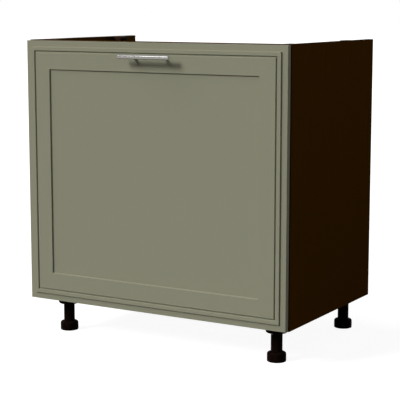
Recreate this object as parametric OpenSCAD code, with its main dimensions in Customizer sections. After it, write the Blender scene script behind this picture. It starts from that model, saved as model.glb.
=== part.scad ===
// Sink base cabinet with one wide pull-out front, on four adjustable legs.
// x runs across, y runs from front to back, z is the height above the floor, all in millimetres.

/* [Carcass] */
// Width over the two side panels
carcass_w = 800; // [600:50:1000]
// Height of the side panels, without the legs
carcass_h = 720; // [680:10:780]
// Depth of the side panels, without the front
carcass_d = 500; // [490:10:600]
// Thickness of the carcass boards
board_t = 16; // [15:1:19]
// Thickness of the strips glued on the front edges
edge_band_t = 1; // [0.4:0.2:2]
// Height of the rail under the worktop's front
front_rail_h = 100; // [80:10:140]
// Height of each of the two rails at the back
rear_rail_h = 100; // [80:10:120]
// Distance of the upper rear rail below the carcass top
rear_rail_drop = 60; // [30:10:100]

/* [Front] */
// Gap between the front's edge and the carcass side, seen from the front
side_reveal = 2; // [1:0.5:4]
// Gap between the front's edge and the carcass top or bottom
end_reveal = 2; // [1:0.5:4]
// Thickness of the front at its frame
front_t = 19; // [18:1:25]
// Air between the front and the carcass edge, taken up by the bumpers
front_air = 2; // [1.5:0.5:4]
// Width of the lowered band along the outer edge
rim_w = 16; // [12:1:20]
// How far that band lies below the frame's face
rim_drop = 4; // [2:0.5:6]
// Width of the raised bead inside the band
bead_w = 11; // [8:1:14]
// Width of the slope from the band up to the bead
bead_slope = 1; // [0.5:0.5:3]
// Width of the groove inside the bead
groove_w = 4.5; // [3.5:0.5:8]
// Width of the groove's flat bottom
groove_floor = 1.5; // [0.5:0.5:2.5]
// Depth of the groove
groove_deep = 3.5; // [2:0.5:4]
// Width of the frame from the front's edge to the recessed panel
frame_w = 77; // [65:1:100]
// How far the recessed panel lies below the frame's face
panel_drop = 4.2; // [3:0.1:7]
// Width of the sloped step down to the recessed panel
riser_w = 1.5; // [0.5:0.5:4]
// Chamfer on the front's outer edge
front_edge = 0.6; // [0.4:0.2:1.4]

/* [Handle] */
// Length of the round bar
bar_l = 154; // [130:2:220]
// Diameter of the round bar
bar_d = 12; // [10:1:14]
// Distance between the two posts
post_pitch = 96; // [64:32:96]
// Diameter of a post
post_d = 8; // [7:1:10]
// Distance from the front's face to the bar's axis
bar_reach = 29.5; // [26:0.5:40]
// Distance from the groove down to the posts
post_margin = 0.5; // [0.5:0.5:12]
// Thread diameter of the handle screws
handle_screw_d = 4; // [3:0.5:5]

/* [Legs] */
// Height of the carcass above the floor
leg_h = 100; // [90:5:150]
// Diameter of the foot
foot_d = 50.4; // [44:0.4:60]
// Height of the foot
foot_h = 25; // [20:1:30]
// Radius of the foot's shoulder
foot_round = 6; // [3:1:7]
// Diameter of the leg's tube
tube_d = 30.6; // [28:0.2:34]
// Wall of the leg's tube
tube_wall = 2.8; // [2:0.2:3.4]
// Diameter of the socket under the carcass
socket_d = 58; // [56:1:64]
// Height of the socket
socket_h = 23; // [18:1:26]
// Radius of the socket's lower edge
socket_round = 4; // [2:1:5]
// Distance from the leg's axis to the carcass side
leg_side = 69; // [60:1:90]
// Distance from the front leg's axis to the carcass front
leg_front = 67; // [50:1:90]
// How far a foot screws out
foot_travel = 25; // [10:1:25]
// Length of a foot's thread that stays in the tube when it is screwed out
thread_grip = 25; // [15:1:25]
// Distance between the turns of the foot's thread
thread_pitch = 4; // [3:0.5:5]
// Depth of the foot's thread
thread_deep = 1.6; // [1:0.2:2]

/* [Drawer box] */
// Height of the drawer's sides
box_h = 240; // [200:10:300]
// Thickness of the drawer's boards
box_t = 16; // [15:1:18]
// Air between the drawer's underside and the carcass bottom
box_lift = 14; // [8:1:30]
// Thickness of the drawer's bottom
box_bottom_t = 10; // [6:1:12]
// Depth of the groove that holds the drawer's bottom
box_groove = 7; // [5:1:9]
// Height of that groove above the lower edge of the drawer's sides
box_groove_up = 12; // [10:1:16]

/* [Runners] */
// Air between the drawer's rear end and the rear rails, which sets the runners' length
drawer_rear_air = 32; // [26:2:80]
// Height of the runner's cabinet member
runner_h = 45.6; // [44:0.4:47]
// Width of the closed runner between carcass and drawer
runner_w = 12.7; // [12.7:0.1:13.5]
// Thickness of the runner's steel
steel_t = 1.2; // [1:0.1:1.3]
// Thickness of the ball cages
cage_t = 0.6; // [0.5:0.1:0.7]
// Running gap between the runner's members
runner_play = 0.4; // [0.3:0.05:0.45]
// Diameter of the balls
ball_d = 3.5; // [3:0.1:3.8]
// Number of balls in each row
ball_count = 6; // [4:1:8]
// Length of a ball cage
cage_l = 150; // [120:10:180]
// Set-back of the runner behind the carcass edge
runner_back = 2; // [1:1:6]
// Height of the runner's middle above the drawer's lower edge
runner_up = 60; // [56:1:70]
// Distance between two screws along a runner
runner_screw_pitch = 128; // [96:32:128]

/* [Fittings] */
// Diameter of the wooden dowels
dowel_d = 8; // [6:1:8]
// Length of the wooden dowels
dowel_l = 34; // [30:1:35]
// Diameter of the cam housings
cam_d = 15; // [14:0.5:16]
// Depth of the pockets for the cam housings
cam_deep = 12.5; // [12:0.1:13]
// Distance from a board's end to the cam's centre
cam_in = 34; // [24:1:40]
// Distance from a rail's edge to its first fitting
fitting_edge = 32; // [25:1:36]
// Distance from the front or back of the carcass bottom to its first fitting
bottom_fitting_edge = 50; // [40:5:60]
// Distance from that dowel to the cam beside it
fitting_pitch = 32; // [28:4:40]
// Diameter of the corner screws of the drawer box
corner_screw_d = 7; // [5:0.5:7]
// Length of the corner screws of the drawer box
corner_screw_l = 50; // [40:5:60]
// Diameter of the small wood screws
wood_screw_d = 4; // [3.5:0.1:4.5]
// Length of the legs' and front's screws inside the wood they hold
wood_screw_bite = 11; // [9:0.5:12]
// Distance of the front worktop block from the carcass front
block_front = 60; // [50:5:80]
// Distance of the rear worktop block from the carcass front
block_rear = 400; // [360:10:420]
// How far a worktop block reaches in from the side panel
block_reach = 30; // [28:1:40]
// Length of a worktop block along the side panel
block_l = 40; // [36:1:60]
// Height of a worktop block
block_h = 24; // [20:1:30]
// Wall of a worktop block
block_wall = 3; // [2.5:0.5:4]
// Distance from the carcass side to the worktop screw's hole
block_hole_in = 20; // [16:1:22]
// Diameter of the worktop screw's hole
block_hole_d = 5; // [4:0.5:6]
// Diameter of the holes for the wall screws
wall_hole_d = 6; // [5:0.5:8]
// Distance between the two wall screws
wall_hole_pitch = 512; // [384:32:512]
// Diameter of a bumper
bumper_d = 8; // [6:1:10]
// Distance of a bumper from the top or bottom of the carcass
bumper_in = 60; // [40:5:90]
// Distance of the outer front screws from the inside of the drawer's sides
front_screw_in = 60; // [40:5:90]
// Height of the lower front screws above the drawer's lower edge
front_screw_low = 75; // [60:5:90]
// Distance between the lower and the upper front screws
front_screw_rise = 105; // [64:1:105]
// Distance of the outer bottom screws from the inside of the drawer's sides
bottom_screw_in = 50; // [40:5:80]
// Depth of the bottom screws in the drawer's back
bottom_screw_bite = 25; // [20:1:30]
// Least distance from a runner's last screw to its rear end
runner_screw_end = 20; // [15:1:30]

/* [Hidden] */
$fn = 48;
eps = 0.5; // overshoot of cutting tools past a face
fit = 0.05; // radial clearance of a pressed, glued or screwed fit
slide = 0.3; // clearance of a sliding fit
touch = 0.2; // air between a piece at its stop and the stop

// Frame of the whole object
socket_flat = tube_d / 2 + 2.2; // from the leg's axis to the socket's flat side
leg_rear = carcass_d - socket_flat;
front_out = front_air + front_t + bar_reach + bar_d / 2;
rear_out = max(carcass_d, leg_rear + foot_d / 2);
carcass_y = front_out - (front_out + rear_out) / 2;
top_z = leg_h + carcass_h;
floor_z = leg_h + board_t;
inner_half = carcass_w / 2 - board_t;
rear_y = carcass_d - board_t;
runner_l = rear_y - drawer_rear_air - runner_back; // length of the runners, and their travel

// Front
front_w = carcass_w - 2 * side_reveal;
front_h = carcass_h - 2 * end_reveal;
front_mid_z = leg_h + carcass_h / 2;
bar_drop = rim_w + bead_w + groove_w + post_margin + post_d / 2; // from the front's top edge to the bar
bar_z = leg_h + carcass_h - end_reveal - bar_drop;
screw_head_h = 2.2;
handle_bite = 10; // depth of the thread in a post
counterbore_h = screw_head_h + 0.4;
frame_edge = 1; // rounding of the frame's inner edge, bead and groove

// Drawer box
box_x = inner_half - runner_w; // outer face of a drawer side
box_z = floor_z + box_lift;
box_y = -front_air;
box_back_y = box_y + runner_l - box_t;
box_inner_y = box_y + box_t;
box_floor_z = box_z + box_groove_up;
box_top_z = box_z + box_h;
box_in = box_x - box_t;
corner_low = 36; // lowest corner screw above the drawer's lower edge
corner_high = box_h - 25;
corner_rows = [corner_low, (corner_low + corner_high) / 2, corner_high];
corner_head_h = 3;
corner_head_grow = 3; // how much wider than its shank a corner screw's head is

// Runner, counted in from the carcass side: cabinet member, outer cage, middle member, inner cage,
// drawer member
runner_z = box_z + runner_up;
track_w = ball_d + 2 * 0.275;
cage_outer_u = steel_t + runner_play;
middle_u = cage_outer_u + cage_t + runner_play;
cage_inner_u = middle_u + steel_t + runner_play;
drawer_member_u = cage_inner_u + cage_t + runner_play;
flange_end_u = runner_w - steel_t - 0.5;
ball_u = flange_end_u - ball_d / 2 - 1.2;
outer_flange = runner_h / 2 - steel_t; // inner face of the cabinet member's flange
middle_flange = outer_flange - track_w; // outer face of the middle member's flange
inner_track = middle_flange - steel_t;
drawer_flange = inner_track - track_w; // outer face of the drawer member's flange
middle_end = 5; // how much shorter the middle member is at each end
cage_start = runner_l / 3;
outer_ball_row = (outer_flange + middle_flange) / 2;
inner_ball_row = (inner_track + drawer_flange) / 2;
runner_screw_first = 37;
runner_head_d = 8;
runner_head_h = 2;
runner_bite = 11;
stop_tab_h = 16;

// Carcass fittings: [y, z] on the inner face of a side panel
bottom_z = leg_h + board_t / 2;
rail_mid = board_t / 2;
upper_rail_z = top_z - rear_rail_drop - rear_rail_h;
dowel_points = [
    [bottom_fitting_edge, bottom_z], [carcass_d - bottom_fitting_edge, bottom_z],
    [rail_mid, top_z - fitting_edge],
    [carcass_d - rail_mid, upper_rail_z + rear_rail_h - fitting_edge],
    [carcass_d - rail_mid, floor_z + rear_rail_h - fitting_edge]
];
// Each cam: [y, z, turn], where turn swings its mouth from the board's underside to its open face
cam_points = [
    [bottom_fitting_edge + fitting_pitch, bottom_z, 0],
    [carcass_d - bottom_fitting_edge - fitting_pitch, bottom_z, 0],
    [rail_mid, top_z - front_rail_h + fitting_edge, 90],
    [carcass_d - rail_mid, upper_rail_z + fitting_edge, -90],
    [carcass_d - rail_mid, floor_z + fitting_edge, -90]
];
dowel_bite = 11; // depth of a dowel in the side panel
cam_bite = 11; // depth of a cam bolt in the side panel
cam_thread_d = 6;
cam_rod_d = 5;
cam_head_d = 7;
cam_bore_d = 8;
cam_slot_d = 7.8;
cam_head_l = 4;
cam_slot_in = 4.5; // how far the slot reaches past the cam's middle
cam_cross = [9, 1.4, 3]; // one arm of the screwdriver's cross, across, wide and deep

// Legs and worktop blocks
leg_points = [
    [-carcass_w / 2 + leg_side, leg_front], [carcass_w / 2 - leg_side, leg_front],
    [-carcass_w / 2 + leg_side, leg_rear], [carcass_w / 2 - leg_side, leg_rear]
];
leg_screw_angles = [-90, -4, 184];
leg_screw_r = socket_d / 2 - 6.2;
socket_wall = 2.5;
boss_d = 10;
shank_d = tube_d - 2 * tube_wall - 2 * slide;
shank_l = foot_travel + thread_grip;
tube_z = foot_h + touch;
tube_l = leg_h - 3 - tube_z; // the tube ends inside its socket
block_points = [
    [-1, block_front], [1, block_front], [-1, block_rear], [1, block_rear]
];
block_drop = 1; // top of a block below the carcass top
block_screw_z = 14; // screws of a block below its top
block_screw_y = 11; // screws of a block off its middle
screw_head_d = 8;

board_brown = [0.13, 0.07, 0.03];
sage = [0.50, 0.50, 0.43];
black_plastic = [0.05, 0.05, 0.05];
zinc = [0.70, 0.71, 0.72];
box_grey = [0.80, 0.80, 0.78];

// A box given by its lowest and highest corners
module block(low, high) translate(low) cube(high - low);

// Moves the cabinet, drawn with y = 0 at the carcass front, to the object's own frame
module cabinet() translate([0, carcass_y, 0]) children();

// Draws its children for the right side, and mirrored for the left side when side is -1
module on_side(side) {
    if (side < 0) mirror([1, 0, 0]) children();
    else children();
}

// A cylinder along +x from a point, or along -x when its length is negative
module rod_x(point, d, l)
    translate(point + [min(l, 0), 0, 0]) rotate([0, 90, 0]) cylinder(d = d, h = abs(l));

// A cylinder along +y from a point
module rod_y(point, d, l) translate(point) rotate([-90, 0, 0]) cylinder(d = d, h = l);

// A flush screw along +x: a cone head that ends at the point, and a shank of length l
module flush_screw_x(point, d, head, head_h, l, grow = 0) {
    translate(point) rotate([0, 90, 0])
        cylinder(d1 = head + 2 * grow, d2 = d + 2 * grow, h = head_h);
    rod_x(point, d + 2 * grow, l + grow);
}

// Carcass

// Bores for dowels and cam bolts in the inner face of the right side panel
module side_panel_bores() {
    for (p = dowel_points) rod_x([inner_half - eps, p[0], p[1]], dowel_d + 2 * fit, dowel_bite + eps + 1);
    for (p = cam_points) rod_x([inner_half - eps, p[0], p[1]], cam_thread_d + 2 * fit, cam_bite + eps);
    for (y = runner_screw_ys(runner_back))
        flush_screw_x([inner_half - steel_t, y, runner_z], wood_screw_d, runner_head_d, runner_head_h,
            runner_bite + steel_t, fit);
    for (b = block_points) if (b[0] > 0) for (s = [-1, 1])
        rod_x([inner_half - eps, b[1] + s * block_screw_y, top_z - block_drop - block_screw_z],
            wood_screw_d + 2 * fit, runner_bite + eps + fit);
}

module side_panel(side) color(board_brown) cabinet() on_side(side) difference() {
    block([inner_half, edge_band_t, leg_h], [carcass_w / 2, carcass_d, top_z]);
    side_panel_bores();
}

// Dowel, cam bolt and cam pocket cuts in both ends of a board between the side panels
module end_bores(dowels, cams) {
    for (side = [-1, 1]) on_side(side) {
        for (p = dowels)
            rod_x([inner_half + eps, p[0], p[1]], dowel_d + 2 * fit, -(dowel_l - dowel_bite + 1 + eps));
        for (p = cams) {
            rod_x([inner_half + eps, p[0], p[1]], cam_bore_d, -(cam_in + eps));
            translate([inner_half - cam_in, p[0], p[1]]) rotate([p[2], 0, 0])
                translate([0, 0, -board_t / 2 - eps]) cylinder(d = cam_d, h = cam_deep + eps);
        }
    }
}

module bottom_panel() color(board_brown) cabinet() difference() {
    block([-inner_half, edge_band_t, leg_h], [inner_half, carcass_d, floor_z]);
    end_bores([dowel_points[0], dowel_points[1]], [cam_points[0], cam_points[1]]);
    for (p = leg_points) for (a = leg_screw_angles)
        translate([p[0] + leg_screw_r * cos(a), p[1] + leg_screw_r * sin(a), leg_h - eps])
            cylinder(d = wood_screw_d + 2 * fit, h = wood_screw_bite + eps + fit);
}

module front_rail() color(board_brown) cabinet() difference() {
    block([-inner_half, 0, top_z - front_rail_h], [inner_half, board_t, top_z]);
    end_bores([dowel_points[2]], [cam_points[2]]);
}

module rear_rail_upper() color(board_brown) cabinet() difference() {
    block([-inner_half, rear_y, upper_rail_z], [inner_half, carcass_d, upper_rail_z + rear_rail_h]);
    end_bores([dowel_points[3]], [cam_points[3]]);
    for (s = [-1, 1])
        rod_y([s * wall_hole_pitch / 2, rear_y - eps, upper_rail_z + rear_rail_h / 2], wall_hole_d,
            board_t + 2 * eps);
}

module rear_rail_lower() color(board_brown) cabinet() difference() {
    block([-inner_half, rear_y, floor_z], [inner_half, carcass_d, floor_z + rear_rail_h]);
    end_bores([dowel_points[4]], [cam_points[4]]);
}

// Strips on the front edges of the side panels and the bottom
module edge_bands() color(board_brown) cabinet() {
    for (side = [-1, 1]) on_side(side)
        block([inner_half, 0, leg_h], [carcass_w / 2, edge_band_t, top_z]);
    block([-inner_half, 0, leg_h], [inner_half, edge_band_t, floor_z]);
}

module dowels() color([0.78, 0.62, 0.40]) cabinet()
    for (side = [-1, 1]) on_side(side) for (p = dowel_points)
        rod_x([inner_half + dowel_bite, p[0], p[1]], dowel_d, -dowel_l);

// Threaded into the side panel, with a thin rod whose head sits in the cam
module cam_bolts() color(zinc) cabinet()
    for (side = [-1, 1]) on_side(side) for (p = cam_points) {
        rod_x([inner_half, p[0], p[1]], cam_thread_d, cam_bite);
        rod_x([inner_half, p[0], p[1]], cam_rod_d, -cam_in);
        rod_x([inner_half - cam_in + 1, p[0], p[1]], cam_head_d, -cam_head_l);
    }

module cam_housings() color(zinc) cabinet()
    for (side = [-1, 1]) on_side(side) for (p = cam_points)
        translate([inner_half - cam_in, p[0], p[1]]) rotate([p[2], 0, 0]) difference() {
            translate([0, 0, -board_t / 2]) cylinder(d = cam_d - 2 * fit, h = cam_deep - touch);
            rod_x([-cam_slot_in, 0, 0], cam_slot_d, cam_d);
            for (a = [45, 135]) translate([0, 0, -board_t / 2]) rotate([0, 0, a])
                cube(cam_cross, center = true);
        }

// Worktop blocks: a plate on the side panel, a top plate with the hole, and two gussets
module worktop_block(index) {
    place = block_points[index];
    color(board_brown) cabinet() on_side(place[0])
        translate([inner_half, place[1], top_z - block_drop]) mirror([1, 0, 0]) difference() {
            union() {
                block([0, -block_l / 2, -block_h], [block_wall, block_l / 2, 0]);
                block([0, -block_l / 2, -block_wall], [block_reach, block_l / 2, 0]);
                for (y = [-block_l / 2, block_l / 2 - block_wall])
                    translate([0, y + block_wall, 0]) rotate([90, 0, 0]) linear_extrude(block_wall)
                        polygon([[0, 0], [block_reach, 0], [block_reach, -block_wall],
                            [block_wall, -block_h], [0, -block_h]]);
            }
            translate([block_hole_in, 0, -block_wall - eps])
                cylinder(d = block_hole_d, h = block_wall + 2 * eps);
            for (s = [-1, 1])
                rod_x([-eps, s * block_screw_y, -block_screw_z], wood_screw_d + 2 * fit,
                    block_wall + 2 * eps);
        }
}

module worktop_block_screws() color(zinc) cabinet()
    for (b = block_points) on_side(b[0]) for (s = [-1, 1]) {
        at = [inner_half - block_wall, b[1] + s * block_screw_y, top_z - block_drop - block_screw_z];
        rod_x(at, wood_screw_d, block_wall + runner_bite);
        rod_x(at, screw_head_d, -screw_head_h);
    }

// Legs

// Round socket outline with its flat side towards the back, shrunk by a wall
module socket_outline(wall) intersection() {
    circle(d = socket_d - 2 * wall);
    translate([-socket_d, -socket_d]) square([2 * socket_d, socket_d + socket_flat - wall]);
}

module leg_socket(index) {
    place = leg_points[index];
    color(black_plastic) cabinet() translate([place[0], place[1], leg_h - socket_h]) difference() {
        intersection() {
            union() {
                difference() {
                    linear_extrude(socket_h) socket_outline(0);
                    translate([0, 0, socket_wall]) linear_extrude(socket_h) socket_outline(socket_wall);
                }
                cylinder(r = socket_flat, h = socket_h);
                for (a = leg_screw_angles) rotate([0, 0, a]) translate([leg_screw_r, 0, 0])
                    cylinder(d = boss_d, h = socket_h);
            }
            rotate_extrude() polygon(concat([[0, 0]], [for (a = [-90 : 15 : 0])
                [socket_d / 2 - socket_round + socket_round * cos(a), socket_round + socket_round * sin(a)]],
                [[socket_d / 2, socket_h], [0, socket_h]]));
        }
        translate([0, 0, -eps]) cylinder(d = tube_d + 2 * fit, h = socket_h + 2 * eps);
        for (a = leg_screw_angles) rotate([0, 0, a]) translate([leg_screw_r, 0, 0]) {
            translate([0, 0, -eps]) cylinder(d = wood_screw_d + 2 * fit, h = socket_h + 2 * eps);
            cylinder(d1 = screw_head_d + 2 * fit, d2 = wood_screw_d + 2 * fit, h = screw_head_h);
        }
    }
}

module leg_tube(index) {
    place = leg_points[index];
    color(black_plastic) cabinet() translate([place[0], place[1], tube_z]) difference() {
        cylinder(d = tube_d, h = tube_l);
        translate([0, 0, -eps]) cylinder(d = tube_d - 2 * tube_wall, h = tube_l - tube_wall + eps);
    }
}

// Half outline of a foot: base with rounded edges, and a shank with the ridges of its thread
function foot_outline() = concat(
    [[0, 0], [foot_d / 2 - 2, 0], [foot_d / 2 - 0.6, 0.6], [foot_d / 2, 2]],
    [for (a = [0 : 15 : 90])
        [foot_d / 2 - foot_round + foot_round * cos(a), foot_h - foot_round + foot_round * sin(a)]],
    [[shank_d / 2 - thread_deep, foot_h]],
    [for (i = [1 : floor(shank_l / thread_pitch) - 1]) for (q = [-0.3, -0.1, 0.1, 0.3])
        [shank_d / 2 - (abs(q) > 0.2 ? thread_deep : 0), foot_h + (i + q) * thread_pitch]],
    [[shank_d / 2 - thread_deep, foot_h + shank_l], [0, foot_h + shank_l]]);

module leg_foot(index) {
    place = leg_points[index];
    color(black_plastic) cabinet() translate([place[0], place[1], 0])
        rotate_extrude() polygon(foot_outline());
}

module leg_screws() color(zinc) cabinet()
    for (p = leg_points) for (a = leg_screw_angles)
        translate([p[0] + leg_screw_r * cos(a), p[1] + leg_screw_r * sin(a), leg_h - socket_h]) {
            cylinder(d = wood_screw_d, h = socket_h + wood_screw_bite);
            cylinder(d1 = screw_head_d, d2 = wood_screw_d, h = screw_head_h);
        }

// Runners, drawn for the right side: u is the distance in from the carcass side panel

// Places of the screws along a runner that starts at a given y
function runner_screw_ys(start) =
    [for (y = [runner_screw_first : runner_screw_pitch : start + runner_l - runner_screw_end]) y];

// A channel with a web at u, its flanges running to u_end, between plus and minus half in height
module channel(u, u_end, half, t, start, length) {
    web = u < u_end ? [u, u + t] : [u - t, u];
    reach = [min(u, u_end), max(u, u_end)];
    runner_block([web[0], web[1]], [-half, half], start, length);
    for (s = [-1, 1]) runner_block(reach, s > 0 ? [half - t, half] : [-half, t - half], start, length);
}

// A box in runner coordinates
module runner_block(u, v, start, length)
    block([inner_half - u[1], start, runner_z + v[0]], [inner_half - u[0], start + length, runner_z + v[1]]);

module runner_outer(side) color(zinc) cabinet() on_side(side) difference() {
    union() {
        channel(0, flange_end_u, runner_h / 2, steel_t, runner_back, runner_l);
        runner_block([0, flange_end_u], [-stop_tab_h / 2, stop_tab_h / 2],
            runner_back + runner_l - steel_t, steel_t);
    }
    for (y = runner_screw_ys(runner_back))
        flush_screw_x([inner_half - steel_t, y, runner_z], wood_screw_d, runner_head_d, runner_head_h,
            steel_t + eps, fit);
}

module runner_outer_screws() color(zinc) cabinet()
    for (side = [-1, 1]) on_side(side) for (y = runner_screw_ys(runner_back))
        flush_screw_x([inner_half - steel_t, y, runner_z], wood_screw_d, runner_head_d, runner_head_h,
            runner_bite + steel_t);

module runner_middle(side) color(zinc) cabinet() on_side(side)
    channel(middle_u, flange_end_u, middle_flange, steel_t, runner_back + middle_end,
        runner_l - 2 * middle_end);

// Height of the balls' row and web place of one stage's cage
function stage_row(outer) = outer ? outer_ball_row : inner_ball_row;
function stage_u(outer) = outer ? cage_outer_u : cage_inner_u;
function ball_ys() = [for (i = [0 : ball_count - 1])
    runner_back + cage_start + cage_l * (i + 0.5) / ball_count];

module ball_cage(side, outer) color(black_plastic) cabinet() on_side(side) difference() {
    channel(stage_u(outer), flange_end_u, stage_row(outer) + cage_t / 2, cage_t,
        runner_back + cage_start, cage_l);
    for (y = ball_ys()) for (s = [-1, 1])
        translate([inner_half - ball_u, y, runner_z + s * stage_row(outer) - 2])
            cylinder(d = ball_d + 2 * touch, h = 4);
}

module balls(side, outer) color([0.85, 0.86, 0.88]) cabinet() on_side(side)
    for (y = ball_ys()) for (s = [-1, 1])
        translate([inner_half - ball_u, y, runner_z + s * stage_row(outer)]) sphere(d = ball_d, $fn = 24);

module runner_inner(side) color(zinc) cabinet() on_side(side) difference() {
    channel(runner_w, drawer_member_u, drawer_flange, steel_t, box_y + runner_back, runner_l);
    for (y = runner_screw_ys(box_y))
        rod_x([inner_half - runner_w - eps, y, runner_z], wood_screw_d + 2 * fit, steel_t + 2 * eps);
}

module runner_inner_screws() color(zinc) cabinet()
    for (side = [-1, 1]) on_side(side) for (y = runner_screw_ys(box_y)) {
        at = [inner_half - runner_w + steel_t, y, runner_z];
        rod_x(at, wood_screw_d, -runner_bite - steel_t);
        rod_x(at, screw_head_d - 1, screw_head_h);
    }

// Drawer box

// Places of the corner screws' axes, for the box front and for the back
function corner_ys() = [box_y + box_t / 2, box_back_y + box_t / 2];
function corner_zs() = [for (z = corner_rows) box_z + z];

// One corner screw of the right side, drawn from its head inwards
module corner_screw(y, z, grow) {
    translate([box_x, y, z]) rotate([0, -90, 0]) {
        cylinder(d1 = corner_screw_d + corner_head_grow + 2 * grow, d2 = corner_screw_d + 2 * grow,
            h = corner_head_h);
        cylinder(d = corner_screw_d + 2 * grow, h = box_t);
        cylinder(d = corner_screw_d - 2 + 2 * grow, h = corner_screw_l + grow);
    }
}

module corner_screw_cuts() for (side = [-1, 1]) on_side(side)
    for (y = corner_ys()) for (z = corner_zs()) corner_screw(y, z, fit);

module drawer_side(side) color(box_grey) cabinet() difference() {
    on_side(side) difference() {
        block([box_in, box_y, box_z], [box_x, box_y + runner_l, box_top_z]);
        block([box_in - eps, box_inner_y - box_groove, box_floor_z],
            [box_in + box_groove, box_y + runner_l + eps, box_floor_z + box_bottom_t]);
        for (y = runner_screw_ys(box_y))
            rod_x([box_x + eps, y, runner_z], wood_screw_d + 2 * fit, -runner_bite - eps - fit);
    }
    corner_screw_cuts();
}

// Rows and columns of the screws that hold the front to the drawer box
front_screw_xs = [-box_in + front_screw_in, 0, box_in - front_screw_in];
front_screw_zs = [box_z + front_screw_low, box_z + front_screw_low + front_screw_rise];
module front_screw_cuts(d, y, l) for (x = front_screw_xs) for (z = front_screw_zs) rod_y([x, y, z], d, l);

module drawer_box_front() color(box_grey) cabinet() difference() {
    block([-box_in, box_y, box_z], [box_in, box_inner_y, box_top_z]);
    block([-box_in - eps, box_inner_y - box_groove, box_floor_z],
        [box_in + eps, box_inner_y + eps, box_floor_z + box_bottom_t]);
    corner_screw_cuts();
    front_screw_cuts(wood_screw_d + 2 * fit, box_y - eps, box_t + 2 * eps);
}

module drawer_back() color(box_grey) cabinet() difference() {
    block([-box_in, box_back_y, box_floor_z + box_bottom_t], [box_in, box_y + runner_l, box_top_z]);
    corner_screw_cuts();
    bottom_screw_cuts(fit);
}

// Screws that hold the drawer's bottom up against its back
bottom_screw_xs = [for (i = [-2 : 2]) i * (box_in - bottom_screw_in) / 2];
module bottom_screw_cuts(grow) for (x = bottom_screw_xs)
    translate([x, box_back_y + box_t / 2, box_floor_z]) {
        cylinder(d1 = runner_head_d + 2 * grow, d2 = wood_screw_d + 2 * grow, h = runner_head_h);
        cylinder(d = wood_screw_d + 2 * grow, h = box_bottom_t + bottom_screw_bite + grow);
    }

module drawer_bottom() color(box_grey) cabinet() difference() {
    block([-box_in - box_groove + touch, box_inner_y - box_groove + touch, box_floor_z],
        [box_in + box_groove - touch, box_y + runner_l, box_floor_z + box_bottom_t]);
    bottom_screw_cuts(fit);
}

module drawer_corner_screws() color(zinc) cabinet()
    for (side = [-1, 1]) on_side(side) for (y = corner_ys()) for (z = corner_zs()) corner_screw(y, z, 0);

module drawer_bottom_screws() color(zinc) cabinet() bottom_screw_cuts(0);

// Front

// Section of the milled front, from its back edge to the recessed panel: [inset, height above the back]
function front_section() =
    let (bead = rim_w + bead_slope, groove = rim_w + bead_w, frame = groove + groove_w,
        soft = frame_edge / 3, groove_side = (groove_w - groove_floor) / 2)
    [[0, 0], [0, front_t - rim_drop - front_edge], [front_edge, front_t - rim_drop],
        [rim_w, front_t - rim_drop], [bead, front_t - frame_edge / 2], [bead + frame_edge / 2, front_t],
        [groove - soft, front_t], [groove, front_t - soft],
        [groove + groove_side, front_t - groove_deep], [frame - groove_side, front_t - groove_deep],
        [frame, front_t - soft], [frame + soft, front_t],
        [frame_w - frame_edge / 2, front_t], [frame_w, front_t - frame_edge / 2],
        [frame_w + riser_w, front_t - panel_drop]];

// The front as one board: each point of the section runs round it as a rectangle
module milled_board(section) {
    corners = [[-1, -1], [1, -1], [1, 1], [-1, 1]];
    last = len(section) - 1;
    polyhedron(
        points = [for (p = section) for (c = corners)
            [c[0] * (front_w / 2 - p[0]), -p[1], c[1] * (front_h / 2 - p[0])]],
        faces = concat([[0, 1, 2, 3]], [[for (k = [3 : -1 : 0]) 4 * last + k]],
            [for (i = [0 : last - 1]) for (k = [0 : 3])
                [4 * i + k, 4 * i + 4 + k, 4 * i + 4 + (k + 1) % 4, 4 * i + (k + 1) % 4]]));
}

module drawer_front() color(sage) cabinet() difference() {
    translate([0, -front_air, front_mid_z]) milled_board(front_section());
    front_screw_cuts(wood_screw_d + 2 * fit, -front_air - wood_screw_bite, wood_screw_bite + eps);
    for (s = [-1, 1]) {
        rod_y([s * post_pitch / 2, -front_air - front_t - eps, bar_z], handle_screw_d + 2 * fit,
            front_t + 2 * eps);
        rod_y([s * post_pitch / 2, -front_air - counterbore_h, bar_z], screw_head_d + 1,
            counterbore_h + eps);
    }
}

module front_screws() color(zinc) cabinet() {
    front_screw_cuts(wood_screw_d, -front_air - wood_screw_bite + fit, wood_screw_bite + box_t);
    front_screw_cuts(screw_head_d, box_inner_y, screw_head_h);
}

// Four soft pads on the front's back, over the carcass edges
module front_bumpers() color([0.80, 0.82, 0.82]) cabinet()
    for (side = [-1, 1]) for (z = [leg_h + bumper_in, top_z - bumper_in])
        rod_y([side * (carcass_w - board_t) / 2, -front_air, z], bumper_d, front_air - touch);

// Handle

handle_y = -front_air - front_t;
bar_y = handle_y - bar_reach;

module handle_bar() color([0.80, 0.80, 0.79]) cabinet()
    translate([0, bar_y, bar_z]) rotate([0, 90, 0]) translate([0, 0, -bar_l / 2])
        rotate_extrude() polygon([[0, 0], [bar_d / 2 - 0.6, 0], [bar_d / 2, 0.6],
            [bar_d / 2, bar_l - 0.6], [bar_d / 2 - 0.6, bar_l], [0, bar_l]]);

module handle_post(side) color([0.80, 0.80, 0.79]) cabinet() difference() {
    rod_y([side * post_pitch / 2, bar_y, bar_z], post_d, bar_reach);
    rod_x([-bar_l / 2, bar_y, bar_z], bar_d + 2 * fit, bar_l);
    rod_y([side * post_pitch / 2, handle_y - handle_bite, bar_z], handle_screw_d + 2 * fit,
        handle_bite + eps);
}

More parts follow.
